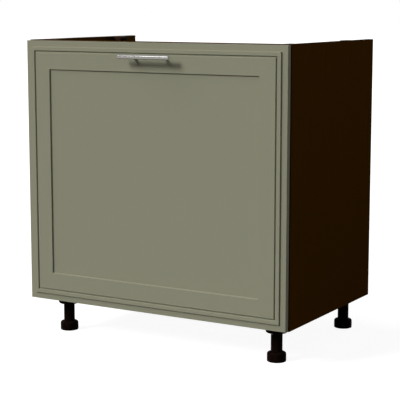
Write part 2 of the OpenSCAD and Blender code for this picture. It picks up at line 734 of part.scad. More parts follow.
module handle_screws() color(zinc) cabinet() for (s = [-1, 1]) {
    rod_y([s * post_pitch / 2, handle_y - handle_bite + 1, bar_z], handle_screw_d,
        front_t + handle_bite - 1 - counterbore_h + fit);
    rod_y([s * post_pitch / 2, -front_air - counterbore_h, bar_z], screw_head_d, screw_head_h);
}

side_panel(-1);  // side_panel_left
side_panel(1);  // side_panel_right
bottom_panel();
front_rail();
rear_rail_upper();
rear_rail_lower();
edge_bands();
dowels();
cam_bolts();
cam_housings();
worktop_block(0);  // worktop_block_front_left
worktop_block(1);  // worktop_block_front_right
worktop_block(2);  // worktop_block_rear_left
worktop_block(3);  // worktop_block_rear_right
worktop_block_screws();
leg_socket(0);  // leg_socket_front_left
leg_socket(1);  // leg_socket_front_right
leg_socket(2);  // leg_socket_rear_left
leg_socket(3);  // leg_socket_rear_right
leg_tube(0);  // leg_tube_front_left
leg_tube(1);  // leg_tube_front_right
leg_tube(2);  // leg_tube_rear_left
leg_tube(3);  // leg_tube_rear_right
leg_screws();
leg_foot(0);  // leg_foot_front_left
leg_foot(1);  // leg_foot_front_right
leg_foot(2);  // leg_foot_rear_left
leg_foot(3);  // leg_foot_rear_right
runner_outer(-1);  // runner_outer_left
runner_outer(1);  // runner_outer_right
runner_outer_screws();
runner_middle(-1);  // runner_middle_left
runner_middle(1);  // runner_middle_right
ball_cage(-1, true);  // ball_cage_outer_left
ball_cage(1, true);  // ball_cage_outer_right
ball_cage(-1, false);  // ball_cage_inner_left
ball_cage(1, false);  // ball_cage_inner_right
balls(-1, true);  // balls_outer_left
balls(1, true);  // balls_outer_right
balls(-1, false);  // balls_inner_left
balls(1, false);  // balls_inner_right
runner_inner(-1);  // runner_inner_left
runner_inner(1);  // runner_inner_right
runner_inner_screws();
drawer_front();
handle_bar();
handle_post(-1);  // handle_post_left
handle_post(1);  // handle_post_right
handle_screws();
front_bumpers();
drawer_side(-1);  // drawer_side_left
drawer_side(1);  // drawer_side_right
drawer_box_front();
drawer_back();
drawer_bottom();
front_screws();
drawer_corner_screws();
drawer_bottom_screws();
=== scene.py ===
"""Sink base cabinet with one wide pull-out front on four adjustable legs.

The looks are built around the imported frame. Sizes are in metres: x runs across, y from
front to back, z is the height above the floor.
"""

import logging
import math
from dataclasses import dataclass
from enum import Enum
from typing import Iterable, Sequence

import bmesh
import bpy
from mathutils import Matrix, Vector


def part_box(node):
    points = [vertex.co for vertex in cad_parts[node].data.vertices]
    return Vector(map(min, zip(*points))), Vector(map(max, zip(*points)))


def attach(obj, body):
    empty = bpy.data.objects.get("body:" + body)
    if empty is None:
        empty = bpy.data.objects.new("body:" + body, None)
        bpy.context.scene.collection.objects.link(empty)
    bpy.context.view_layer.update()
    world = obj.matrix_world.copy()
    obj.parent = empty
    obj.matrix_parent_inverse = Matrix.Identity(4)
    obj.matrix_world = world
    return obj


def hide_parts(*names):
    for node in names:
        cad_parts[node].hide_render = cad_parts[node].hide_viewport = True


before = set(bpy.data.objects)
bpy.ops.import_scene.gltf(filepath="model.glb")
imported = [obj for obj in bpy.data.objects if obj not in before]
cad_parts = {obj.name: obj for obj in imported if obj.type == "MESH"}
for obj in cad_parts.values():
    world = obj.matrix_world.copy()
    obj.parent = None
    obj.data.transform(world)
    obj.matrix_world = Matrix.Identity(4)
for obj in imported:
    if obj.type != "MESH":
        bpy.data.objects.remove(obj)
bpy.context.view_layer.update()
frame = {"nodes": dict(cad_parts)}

log = logging.getLogger("cabinet")

Triple = tuple[float, float, float]
Pair = tuple[float, float]
Colour = tuple[float, float, float]

SIDES: tuple[tuple[str, int], ...] = (("left", -1), ("right", 1))
CORNERS: tuple[tuple[str, int, int], ...] = (
    ("front_left", -1, 0), ("front_right", 1, 0), ("rear_left", -1, 1), ("rear_right", 1, 1))

FRONT_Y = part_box("edge_bands")[0].y  # plane of the carcass's front edges
HALF_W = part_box("edge_bands")[1].x  # outer face of a side panel
TOP_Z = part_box("side_panel_right")[1].z
BASE_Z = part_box("side_panel_right")[0].z  # underside of the carcass
BOARD = 0.016  # carcass and drawer boards
INNER_X = HALF_W - BOARD  # inner face of a side panel
ROUGH_CUT = 0.0005  # how far a cutter starts outside the face that it cuts
THREAD_R = 0.002  # thread of a 4 mm screw
PILOT_R = 0.00205  # its bore
PILOT_DEEP = 0.01105  # depth of that bore in a board
HEAD: Pair = (0.004, 0.0022)  # radius and height of its head
LOW_HEAD: Pair = (0.004, 0.002)  # the same of a lower head
SINK: Pair = (0.00405, 0.0022)  # radius and depth of its countersink
LOW_SINK: Pair = (0.00405, 0.002)  # the same for a lower head

# Directions in the cabinet's frame
RIGHT, LEFT = (1.0, 0.0, 0.0), (-1.0, 0.0, 0.0)
BACK, FORTH = (0.0, 1.0, 0.0), (0.0, -1.0, 0.0)
UP, DOWN = (0.0, 0.0, 1.0), (0.0, 0.0, -1.0)
HERE = Matrix.Identity(4)  # place of what is drawn in its own frame
MIRROR = Matrix.Diagonal((-1.0, 1.0, 1.0, 1.0))
ARRIS = "arris"  # face attribute: 1 on rounded edges, 0 on flat faces


def cab_y(depth: float) -> float:
    """Returns the place along y of a depth behind the carcass's front edges."""
    return FRONT_Y + depth


def spot(point: Triple) -> Triple:
    """Returns the place of a point that is given as x, depth and height."""
    return point[0], cab_y(point[1]), point[2]


def aim(point: Sequence[float], direction: Sequence[float]) -> Matrix:
    """Places something that is drawn along +z.

    Args:
        point: where its origin goes.
        direction: where its z axis points.
    Returns:
        The placing matrix.
    """
    turn = Vector(direction).to_track_quat("Z", "Y").to_matrix().to_4x4()
    return Matrix.Translation(point) @ turn


def axes(point: Sequence[float], across: Sequence[float], up: Sequence[float]) -> Matrix:
    """Places something by its own x and y axes.

    Args:
        point: where its origin goes.
        across: direction of its x axis.
        up: direction of its y axis.
    Returns:
        The placing matrix, whose z axis is across x up.
    """
    x, y = Vector(across), Vector(up)
    turn = Matrix((x, y, x.cross(y))).transposed().to_4x4()
    return Matrix.Translation(point) @ turn


def arc(centre: Pair, radius: float, start: float, end: float, steps: int = 4) -> list[Pair]:
    """Points on an arc.

    Args:
        centre: centre of the arc.
        radius: its radius.
        start: first angle in degrees.
        end: last angle in degrees.
        steps: number of chords.
    Returns:
        The points from start to end.
    """
    angles = [math.radians(start + (end - start) * k / steps) for k in range(steps + 1)]
    return [(centre[0] + radius * math.cos(a), centre[1] + radius * math.sin(a)) for a in angles]


class Role(Enum):
    """What a face of a board shows; the value is its material index."""

    FACE = 0
    EDGE = 1
    CORE = 2


class Form:
    """A closed mesh while it is being made, in the cabinet's frame."""

    def __init__(self) -> None:
        """Starts an empty form."""
        self.bm = bmesh.new()

    @classmethod
    def block(cls, low: Sequence[float], high: Sequence[float], soft: float = 0.0,
              role: Role = Role.FACE) -> "Form":
        """A box with softened edges.

        Args:
            low: its lowest corner.
            high: its highest corner.
            soft: radius on its edges.
            role: what its faces show.
        Returns:
            The box.
        """
        form = cls()
        low_v, high_v = Vector(low), Vector(high)
        place = Matrix.Translation((low_v + high_v) / 2) @ Matrix.Diagonal((*(high_v - low_v), 1))
        bmesh.ops.create_cube(form.bm, size=1.0, matrix=place)
        if soft:
            bmesh.ops.bevel(form.bm, geom=form.bm.edges[:], offset=soft, segments=2,
                            profile=0.5, affect="EDGES", clamp_overlap=True)
        return form.shown_as(role)

    @classmethod
    def turned(cls, profile: Sequence[Pair], place: Matrix, steps: int = 48,
               role: Role = Role.FACE) -> "Form":
        """A turned body.

        Args:
            profile: radius and height, point by point along the body.
            place: matrix from the turning axis, which is z, to the cabinet.
            steps: number of sides.
            role: what its faces show.
        Returns:
            The body.
        """
        form, rows = cls(), []
        for radius, height in profile:
            count = steps if radius > 1e-7 else 1
            rows.append([form.bm.verts.new(place @ Vector((
                radius * math.cos(math.tau * k / steps), radius * math.sin(math.tau * k / steps),
                height))) for k in range(count)])
        for a, b in zip(rows, rows[1:]):
            for k in range(steps if len(a) + len(b) > 2 else 0):
                corners = [a[k % len(a)], a[(k + 1) % len(a)], b[(k + 1) % len(b)], b[k % len(b)]]
                form.bm.faces.new(list(dict.fromkeys(corners)))
        return form.shown_as(role)

    @classmethod
    def rod(cls, radius: float, low: float, high: float, place: Matrix = HERE, steps: int = 24,
            role: Role = Role.FACE) -> "Form":
        """A plain cylinder, to cut with or to lay down.

        Args:
            radius: its radius.
            low, high: heights of its ends on its axis.
            place: matrix from its axis, which is z, to the cabinet.
            steps: number of sides.
            role: what its faces show.
        Returns:
            The cylinder.
        """
        return cls.turned([(0.0, low), (radius, low), (radius, high), (0.0, high)], place, steps,
                          role=role)

    @classmethod
    def lofted(cls, rows: Sequence[Sequence[Triple]], place: Matrix) -> "Form":
        """A body through outlines with equal numbers of points, closed at both ends.

        Args:
            rows: the outlines, in their order along the body.
            place: matrix from the outlines to the cabinet.
        Returns:
            The body.
        """
        form = cls()
        made = [[form.bm.verts.new(place @ Vector(point)) for point in row] for row in rows]
        form.bm.faces.new(made[0][::-1])
        form.bm.faces.new(made[-1])
        count = len(rows[0])
        for a, b in zip(made, made[1:]):
            for k in range(count):
                form.bm.faces.new((a[k], a[(k + 1) % count], b[(k + 1) % count], b[k]))
        return form

    @classmethod
    def drawn(cls, outline: Sequence[Pair], place: Matrix, length: float,
              taper: float = 1.0) -> "Form":
        """An outline pulled straight.

        Args:
            outline: points in the place's x-y plane.
            place: matrix from the outline to the cabinet.
            length: how far it is pulled along the place's z axis.
            taper: size of its far end against its near end.
        Returns:
            The body.
        """
        far = [(a * taper, b * taper, length) for a, b in outline]
        return cls.lofted([[(a, b, 0.0) for a, b in outline], far], place)

    @classmethod
    def framed(cls, section: Sequence[Pair], half: Pair, place: Matrix) -> "Form":
        """A board whose section runs round it as a rectangle.

        Args:
            section: inset from the outline and height above the back, from the back inwards.
            half: half its width and half its height.
            place: matrix from the board, whose back is at z = 0, to the cabinet.
        Returns:
            The board.
        """
        return cls.lofted([[(sx * (half[0] - inset), sz * (half[1] - inset), height)
                            for sx, sz in ((-1, -1), (1, -1), (1, 1), (-1, 1))]
                           for inset, height in section], place)

    @classmethod
    def thread(cls, core: float, outer: float, pitch: float, span: Pair, place: Matrix,
               steps: int = 16) -> "Form":
        """A rod with one helical ridge.

        Args:
            core: radius between the ridges.
            outer: radius over the ridge.
            pitch: distance between two turns.
            span: heights at which it starts and ends.
            place: matrix from its axis, which is z, to the cabinet.
            steps: number of points in a turn.
        Returns:
            The rod.
        """
        form, low, high = cls(), *span
        ridge = ((0.0, core), (0.3, core), (0.45, outer), (0.6, outer), (0.75, core))
        turns, points = math.ceil((high - low) / pitch) + 2, []
        for s in range(turns * steps):
            angle, row = math.tau * s / steps, []
            for share, radius in ridge:
                height = low + pitch * (s / steps + share - 1)
                held = min(max(height, low), high)
                radius = radius if held == height else core
                row.append(form.bm.verts.new(place @ Vector((
                    radius * math.cos(angle), radius * math.sin(angle), held))))
            points.append(row)
        last = len(ridge) - 1
        for s in range(len(points) - 1):
            for k in range(last):
                form.bm.faces.new((points[s][k], points[s + 1][k], points[s + 1][k + 1],
                                   points[s][k + 1]))
            if s + steps + 1 < len(points):
                form.bm.faces.new((points[s][last], points[s + 1][last],
                                   points[s + steps + 1][0], points[s + steps][0]))
        bmesh.ops.remove_doubles(form.bm, verts=form.bm.verts[:], dist=1e-6)
        bmesh.ops.dissolve_degenerate(form.bm, edges=form.bm.edges[:], dist=1e-6)
        bmesh.ops.holes_fill(form.bm, edges=form.bm.edges[:])
        return form

    @classmethod
    def gathered(cls, forms: Iterable["Form"]) -> "Form":
        """Gathers forms side by side.

        Args:
            forms: the forms.
        Returns:
            One form that holds them all.
        """
        out = cls()
        for form in forms:
            out.with_form(form)
        return out

    def shown_as(self, role: Role) -> "Form":
        """Gives all faces a role.

        Args:
            role: what they show.
        Returns:
            This form.
        """
        for face in self.bm.faces:
            face.material_index = role.value
        return self

    def copies(self, places: Iterable[Matrix]) -> "Form":
        """Repeats the form.

        Args:
            places: one matrix per copy.
        Returns:
            A new form with all copies.
        """
        master = bpy.data.meshes.new("master")
        self.bm.to_mesh(master)
        out = Form()
        for place in places:
            before = len(out.bm.verts)
            out.bm.from_mesh(master)
            out.bm.verts.ensure_lookup_table()
            bmesh.ops.transform(out.bm, matrix=place, verts=out.bm.verts[before:])
        bpy.data.meshes.remove(master)
        return out

    def copy(self) -> "Form":
        """Returns a copy of the form."""
        return self.copies((HERE,))

    def both_sides(self) -> "Form":
        """Returns the form with its mirror image on the other side."""
        return self.copies((HERE, MIRROR))

    def on_side(self, side: int) -> "Form":
        """Returns the form, drawn for the right, on the right (1) or the left (-1)."""
        return self if side > 0 else self.copies((MIRROR,))

    def with_form(self, other: "Form") -> "Form":
        """Adds another form's mesh beside this one.

        Args:
            other: the form to add.
        Returns:
            This form.
        """
        mesh = bpy.data.meshes.new("other")
        other.bm.to_mesh(mesh)
        self.bm.from_mesh(mesh)
        bpy.data.meshes.remove(mesh)
        return self

    def _holder(self) -> bpy.types.Object:
        """Puts the mesh into an object for a boolean.

        Returns:
            The object, which is thrown away later.
        """
        bmesh.ops.recalc_face_normals(self.bm, faces=self.bm.faces[:])
        mesh = bpy.data.meshes.new("holder")
        for _ in Role:
            mesh.materials.append(None)
        self.bm.to_mesh(mesh)
        holder = bpy.data.objects.new("holder", mesh)
        bpy.context.scene.collection.objects.link(holder)
        return holder

    def _combined(self, other: "Form", operation: str) -> "Form":
        """Changes the form by a boolean.

        Args:
            other: the other operand.
            operation: DIFFERENCE or UNION.
        Returns:
            This form.
        """
        target, tool = self._holder(), other._holder()
        step = target.modifiers.new("combine", "BOOLEAN")
        step.operation, step.solver, step.object = operation, "EXACT", tool
        graph = bpy.context.evaluated_depsgraph_get()
        result = bpy.data.meshes.new_from_object(target.evaluated_get(graph), depsgraph=graph)
        self.bm.free()
        self.bm = bmesh.new()
        self.bm.from_mesh(result)
        for holder in (target, tool):
            mesh = holder.data
            bpy.data.objects.remove(holder)
            bpy.data.meshes.remove(mesh)
        bpy.data.meshes.remove(result)
        return self

    def cut(self, *tools: "Form") -> "Form":
        """Cuts tools away, one after the other.

        Args:
            tools: what is cut away.
        Returns:
            This form.
        """
        for tool in tools:
            self._combined(tool, "DIFFERENCE")
        return self

    def join(self, *others: "Form") -> "Form":
        """Fuses others on, one after the other.

        Args:
            others: what is fused on.
        Returns:
            This form.
        """
        for other in others:
            self._combined(other, "UNION")
        return self

    def soften(self, radius: float) -> "Form":
        """Rounds all edges between faces that meet at an angle.

        Args:
            radius: radius on the edges.
        Returns:
            This form.
        """
        bmesh.ops.recalc_face_normals(self.bm, faces=self.bm.faces[:])
        bmesh.ops.dissolve_limit(self.bm, angle_limit=0.01, verts=self.bm.verts[:],
                                 edges=self.bm.edges[:])
        sharp = [e for e in self.bm.edges if e.is_manifold and e.calc_face_angle() > 0.3]
        bmesh.ops.bevel(self.bm, geom=sharp, offset=radius, segments=2, profile=0.5,
                        affect="EDGES", clamp_overlap=True)
        return self

    def edges_by_side(self, thin: int, bare: Iterable[int] = ()) -> "Form":
        """Gives a board's narrow sides their role.

        Args:
            thin: axis of the board's thickness, 0 to 2.
            bare: axes whose narrow sides show the core instead of an edge strip.
        Returns:
            This form.
        """
        self.bm.normal_update()
        for face in self.bm.faces:
            axis = max(range(3), key=lambda k: abs(face.normal[k]))
            if axis != thin and face.material_index == Role.FACE.value:
                face.material_index = (Role.CORE if axis in tuple(bare) else Role.EDGE).value
        return self

    def piece(self, name: str, body: str, materials: Sequence[bpy.types.Material], slot: str,
              *nodes: str, sharp: float = 38.0) -> bpy.types.Object:
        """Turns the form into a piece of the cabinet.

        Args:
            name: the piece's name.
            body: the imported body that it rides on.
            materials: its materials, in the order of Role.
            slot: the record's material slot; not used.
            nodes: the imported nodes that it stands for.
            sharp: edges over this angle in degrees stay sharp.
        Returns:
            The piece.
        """
        bm = self.bm
        bmesh.ops.remove_doubles(bm, verts=bm.verts[:], dist=1e-7)
        bmesh.ops.dissolve_degenerate(bm, edges=bm.edges[:], dist=1e-7)
        bmesh.ops.recalc_face_normals(bm, faces=bm.faces[:])
        bm.normal_update()
        layer = bm.faces.layers.float.new(ARRIS)
        for face in bm.faces:
            face.smooth = True
            face[layer] = float(max(abs(c) for c in face.normal) < 0.99)
            face.material_index = min(face.material_index, len(materials) - 1)
        mesh = bpy.data.meshes.new(name)
        bm.to_mesh(mesh)
        bm.free()
        mesh.set_sharp_from_angle(angle=math.radians(sharp))
        for material in materials:
            mesh.materials.append(material)
        piece = bpy.data.objects.new(name, mesh)
        bpy.context.scene.collection.objects.link(piece)
        even = piece.modifiers.new("even normals", "WEIGHTED_NORMAL")
        even.keep_sharp = True
        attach(piece, body)
        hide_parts(*nodes)
        log.info("%s: %d faces on %s", name, len(mesh.polygons), body)
        return piece


class Graph:
    """A node tree with short calls to add and join its nodes."""

    def __init__(self, tree: bpy.types.NodeTree) -> None:
        """Wraps a tree, which it empties first."""
        self.tree = tree
        tree.nodes.clear()

    def add(self, kind: str, inputs: dict | None = None, **settings: object) -> bpy.types.Node:
        """Adds a node.

        Args:
            kind: its type without the ShaderNode in front.
            inputs: a value or another node's output for each of its inputs, by name or number.
            settings: its other properties.
        Returns:
            The node.
        """
        node = self.tree.nodes.new("ShaderNode" + kind)
        for key, value in settings.items():
            setattr(node, key, value)
        for key, value in (inputs or {}).items():
            if isinstance(value, bpy.types.NodeSocket):
                self.tree.links.new(value, node.inputs[key])
            else:
                node.inputs[key].default_value = value
        return node

    def math(self, operation: str, *values: object) -> bpy.types.NodeSocket:
        """Returns the output of a Math node on up to three values or outputs."""
        return self.add("Math", dict(enumerate(values)), operation=operation).outputs[0]

    def fit(self, value: object, low: float, high: float, to_low: float = 0.0,
            to_high: float = 1.0) -> bpy.types.NodeSocket:
        """Maps a value from one range to another, held at its ends.

        Args:
            value: the output to map.
            low, high: the range that it comes from.
            to_low, to_high: the range that it goes to.
        Returns:
            The mapped output.
        """
        return self.add("MapRange", {0: value, 1: low, 2: high, 3: to_low, 4: to_high}).outputs[0]

    def blend(self, share: object, first: object, second: object) -> bpy.types.NodeSocket:
        """Returns the mix of two colours by a share of the second."""
        first, second = ((*c, 1.0) if isinstance(c, tuple) else c for c in (first, second))
        return self.add("Mix", {0: share, 6: first, 7: second}, data_type="RGBA").outputs[2]

    def noise(self, vector: object, scale: object, detail: float = 2.0, rough: float = 0.5,
              warp: object = 0.0) -> bpy.types.NodeSocket:
        """Returns a noise texture's value at a vector."""
        return self.add("TexNoise", {"Vector": vector, "Scale": scale, "Detail": detail,
                                     "Roughness": rough, "Distortion": warp}).outputs[0]

    def place(self, stretch: object = None) -> bpy.types.NodeSocket:
        """Reads the piece's own coordinates in metres.

        Args:
            stretch: what multiplies them along the three axes, if anything.
        Returns:
            Their output.
        """
        own = self.add("TexCoord").outputs["Object"]
        if stretch is None:
            return own
        return self.add("VectorMath", {0: own, 1: stretch}, operation="MULTIPLY").outputs[0]


class Effect(Enum):
    """The surface effects that the finishes share, each a node group."""

    GRAIN = "long grain"
    MOTTLE = "soft mottle"
    DUST = "settled dust"
    WEAR = "worn arrises"
    PEEL = "sprayed skin"
    BRUSH = "brushed lines"
    CHIPS = "pressed chips"
    SPARK = "moulded skin"


@dataclass(frozen=True)
class EffectPlan:
    """A group's sockets: inputs with their values, and the names of its outputs."""

    inputs: tuple[tuple[str, str, object], ...]
    outputs: tuple[tuple[str, str], ...]


FLOAT, VECTOR, COLOR = "NodeSocketFloat", "NodeSocketVector", "NodeSocketColor"
EFFECT_PLANS: dict[Effect, EffectPlan] = {
    Effect.GRAIN: EffectPlan((("Stretch", VECTOR, (1.0, 1.0, 1.0)), ("Scale", FLOAT, 60.0),
                              ("Warp", FLOAT, 0.4)),
                             (("Streaks", FLOAT), ("Pores", FLOAT), ("Height", FLOAT))),
    Effect.MOTTLE: EffectPlan((("Scale", FLOAT, 6.0), ("Contrast", FLOAT, 1.0)),
                              (("Fac", FLOAT),)),
    Effect.DUST: EffectPlan((("Scale", FLOAT, 900.0), ("Amount", FLOAT, 0.1)),
                            (("Mask", FLOAT),)),
    Effect.WEAR: EffectPlan((("Scale", FLOAT, 120.0), ("Amount", FLOAT, 0.5)),
                            (("Mask", FLOAT),)),
    Effect.PEEL: EffectPlan((("Scale", FLOAT, 450.0),), (("Height", FLOAT),)),
    Effect.BRUSH: EffectPlan((("Stretch", VECTOR, (0.02, 1.0, 1.0)), ("Scale", FLOAT, 2500.0)),
                             (("Lines", FLOAT), ("Height", FLOAT))),
    Effect.CHIPS: EffectPlan((("Scale", FLOAT, 420.0),), (("Color", COLOR), ("Height", FLOAT))),
    Effect.SPARK: EffectPlan((("Scale", FLOAT, 2200.0),), (("Height", FLOAT), ("Sheen", FLOAT))),
}


class EffectShelf:
    """Builds each effect's node group once and places it in materials."""

    def __init__(self) -> None:
        """Starts with no group."""
        self.groups: dict[Effect, bpy.types.NodeTree] = {}

    def group(self, effect: Effect) -> bpy.types.NodeTree:
        """Finds an effect's group, or builds it at its first use.

        Args:
            effect: which effect.
        Returns:
            The group.
        """
        if effect not in self.groups:
            tree = bpy.data.node_groups.new(effect.value, "ShaderNodeTree")
            plan = EFFECT_PLANS[effect]
            for name, kind, value in plan.inputs:
                socket = tree.interface.new_socket(name=name, in_out="INPUT", socket_type=kind)
                socket.default_value = value
            for name, kind in plan.outputs:
                tree.interface.new_socket(name=name, in_out="OUTPUT", socket_type=kind)
            graph = Graph(tree)
            given = graph.tree.nodes.new("NodeGroupInput").outputs
            made = getattr(self, "_" + effect.name.lower())(graph, given)
            out = graph.tree.nodes.new("NodeGroupOutput")
            for socket, value in zip(out.inputs, made):
                tree.links.new(value, socket)
            self.groups[effect] = tree
        return self.groups[effect]

    def use(self, graph: Graph, effect: Effect, **values: object) -> bpy.types.NodeOutputs:
        """Places an effect in a material.

        Args:
            graph: the material's tree.
            effect: which effect.
            values: its inputs by name.
        Returns:
            The placed group's outputs.
        """
        node = graph.add("Group", node_tree=self.group(effect))
        for name, value in values.items():
            node.inputs[name].default_value = value
        return node.outputs

    @staticmethod
    def _grain(g: Graph, given: bpy.types.NodeOutputs) -> tuple:
        """A grain that runs along one axis.

        Args:
            g: the group's tree.
            given: its inputs.
        Returns:
            Its streaks, pores and height.
        """
        place = g.place(given["Stretch"])
        broad = g.noise(place, given["Scale"], 5.0, 0.62, given["Warp"])
        fine = g.noise(place, g.math("MULTIPLY", given["Scale"], 5.0), 3.0, 0.7, given["Warp"])
        streaks = g.fit(broad, 0.34, 0.66)
        pores = g.fit(fine, 0.56, 0.68)
        height = g.math("MULTIPLY_ADD", pores, -0.8, g.math("MULTIPLY", streaks, 0.3))
        return streaks, pores, height

    @staticmethod
    def _mottle(g: Graph, given: bpy.types.NodeOutputs) -> tuple:
        """A soft cloud.

        Args:
            g: the group's tree.
            given: its inputs.
        Returns:
            A value around one half.
        """
        cloud = g.noise(g.place(), given["Scale"], 3.0, 0.55, 0.2)
        spread = g.math("MULTIPLY", g.math("SUBTRACT", cloud, 0.5), given["Contrast"])
        return (g.math("ADD", spread, 0.5),)

    @staticmethod
    def _dust(g: Graph, given: bpy.types.NodeOutputs) -> tuple:
        """Fine dust on faces that look up.

        Args:
            g: the group's tree.
            given: its inputs.
        Returns:
            Its mask.
        """
        up = g.add("SeparateXYZ", {0: g.add("TexCoord").outputs["Normal"]}).outputs[2]
        specks = g.fit(g.noise(g.place(), given["Scale"], 4.0, 0.75), 0.5, 0.72)
        level = g.math("MULTIPLY", specks, g.fit(up, 0.6, 0.95))
        return (g.math("MULTIPLY", level, given["Amount"]),)

    @staticmethod
    def _wear(g: Graph, given: bpy.types.NodeOutputs) -> tuple:
        """Wear along the rounded edges.

        Args:
            g: the group's tree.
            given: its inputs.
        Returns:
            Its broken mask.
        """
        edge = g.add("Attribute", attribute_name=ARRIS).outputs["Fac"]
        broken = g.fit(g.noise(g.place(), given["Scale"], 4.0, 0.6), 0.42, 0.7)
        return (g.math("MULTIPLY", g.math("MULTIPLY", edge, broken), given["Amount"]),)

    @staticmethod
    def _peel(g: Graph, given: bpy.types.NodeOutputs) -> tuple:
        """The skin of a sprayed coat.

        Args:
            g: the group's tree.
            given: its inputs.
        Returns:
            Its height.
        """
        soft = g.noise(g.place(), given["Scale"], 1.0, 0.4)
        fine = g.noise(g.place(), g.math("MULTIPLY", given["Scale"], 6.0), 2.0, 0.6)
        return (g.math("MULTIPLY_ADD", fine, 0.25, soft),)

    @staticmethod
    def _brush(g: Graph, given: bpy.types.NodeOutputs) -> tuple:
        """Fine parallel lines.

        Args:
            g: the group's tree.
            given: its inputs.
        Returns:
            Their tone and height.
        """
        place = g.place(given["Stretch"])
        lines = g.noise(place, given["Scale"], 3.0, 0.7)
        return g.fit(lines, 0.3, 0.7), lines

    @staticmethod
    def _chips(g: Graph, given: bpy.types.NodeOutputs) -> tuple:
        """Pressed wood chips.

        Args:
            g: the group's tree.
            given: its inputs.
        Returns:
            Their colour and height.
        """
        cells = g.add("TexVoronoi", {"Vector": g.place((1.0, 1.0, 2.2)),
                                     "Scale": given["Scale"], "Randomness": 1.0})
        tone = g.add("SeparateColor", {0: cells.outputs["Color"]}).outputs[0]
        dark = g.blend(tone, (0.13, 0.075, 0.035), (0.42, 0.29, 0.16))
        gap = g.fit(cells.outputs["Distance"], 0.35, 0.8)
        return g.blend(gap, dark, (0.05, 0.028, 0.014)), g.math("SUBTRACT", tone, gap)

    @staticmethod
    def _spark(g: Graph, given: bpy.types.NodeOutputs) -> tuple:
        """The skin of a spark-eroded mould.

        Args:
            g: the group's tree.
            given: its inputs.
        Returns:
            Its height and sheen.
        """
        cells = g.add("TexVoronoi", {"Vector": g.place(), "Scale": given["Scale"]})
        patch = g.noise(g.place(), 45.0, 2.0, 0.5)
        return cells.outputs["Distance"], patch


SHELF = EffectShelf()


@dataclass(frozen=True)
class Finish:
    """What every finish has.

    Attributes:
        name: the material's name.
        tone: its main colour, linear.
        rough: its middle roughness.
        shine: specular level of its surface.
    """

    name: str
    tone: Colour
    rough: float
    shine: float

    def material(self) -> bpy.types.Material:
        """Finds the finish's material, or makes it at its first use.

        Returns:
            The material.
        """
        found = bpy.data.materials.get(self.name)
        if found:
            return found
        material = bpy.data.materials.new(self.name)
        material.use_nodes = True
        graph = Graph(material.node_tree)
        shader = graph.add("BsdfPrincipled", {"Roughness": self.rough,
                                              "Specular IOR Level": self.shine})
        self.dress(graph, shader)
        graph.add("OutputMaterial", {0: shader.outputs[0]})
        return material

    def dress(self, graph: Graph, shader: bpy.types.Node) -> None:
        """Feeds the shader; each finish has its own way."""
        raise NotImplementedError

    def feed(self, graph: Graph, shader: bpy.types.Node, colour: object, rough: object,
             height: object, depth: float) -> None:
        """Joins colour, roughness and bump to the shader.

        Args:
            graph: the material's tree.
            shader: its Principled shader.
            colour: output for the base colour.
            rough: output for the roughness.
            height: output for the bump's height.
            depth: how deep the bump is, in metres.
        """
        bump = graph.add("Bump", {"Strength": 1.0, "Distance": depth, "Height": height})
        for name, value in (("Base Color", colour), ("Roughness", rough),
                            ("Normal", bump.outputs[0])):
            graph.tree.links.new(value, shader.inputs[name])


@dataclass(frozen=True)
class Melamine(Finish):
    """Printed melamine paper on board, or its thin edge strip.

    Attributes:
        streak: colour of the printed streaks.
        pore: colour of the printed pores.
        stretch: scales along the three axes; the grain runs along the small one.
        grain: how often the grain repeats over a metre.
        depth: depth of the pressed pores.
    """

    streak: Colour
    pore: Colour
    stretch: Triple
    grain: float = 90.0
    depth: float = 0.00005

    def dress(self, graph: Graph, shader: bpy.types.Node) -> None:
        """Prints streaks and pores, with a little wear on the arrises and dust on top.

        Args:
            graph: the material's tree.
            shader: its Principled shader.
        """
        grain = SHELF.use(graph, Effect.GRAIN, Stretch=self.stretch, Scale=self.grain)
        cloud = SHELF.use(graph, Effect.MOTTLE, Scale=3.0, Contrast=0.5)["Fac"]
        wear = SHELF.use(graph, Effect.WEAR, Scale=160.0, Amount=0.25)["Mask"]
        dust = SHELF.use(graph, Effect.DUST, Scale=1400.0, Amount=0.03)["Mask"]
        printed = graph.blend(grain["Streaks"], self.tone, self.streak)
        printed = graph.blend(graph.math("MULTIPLY", grain["Pores"], 0.7), printed, self.pore)
        light = tuple(min(1.0, c * 1.5 + 0.01) for c in self.tone)
        worn = graph.blend(wear, printed, light)
        dusty = graph.blend(dust, worn, (0.45, 0.43, 0.40))
        rough = graph.math("MULTIPLY_ADD", cloud, 0.16, self.rough - 0.08)
        rough = graph.math("MULTIPLY_ADD", grain["Pores"], 0.08, rough)
        self.feed(graph, shader, dusty, rough, grain["Height"], self.depth)


@dataclass(frozen=True)
class RawBoard(Finish):
    """Sawn chipboard, where no strip covers it."""

    def dress(self, graph: Graph, shader: bpy.types.Node) -> None:
        """Shows the pressed chips.

        Args:
            graph: the material's tree.
            shader: its Principled shader.
        """
        chips = SHELF.use(graph, Effect.CHIPS, Scale=420.0)
        cloud = SHELF.use(graph, Effect.MOTTLE, Scale=9.0)["Fac"]
        colour = graph.blend(0.55, chips["Color"], self.tone)
        rough = graph.math("MULTIPLY_ADD", cloud, 0.1, self.rough)
        self.feed(graph, shader, colour, rough, chips["Height"], 0.0002)


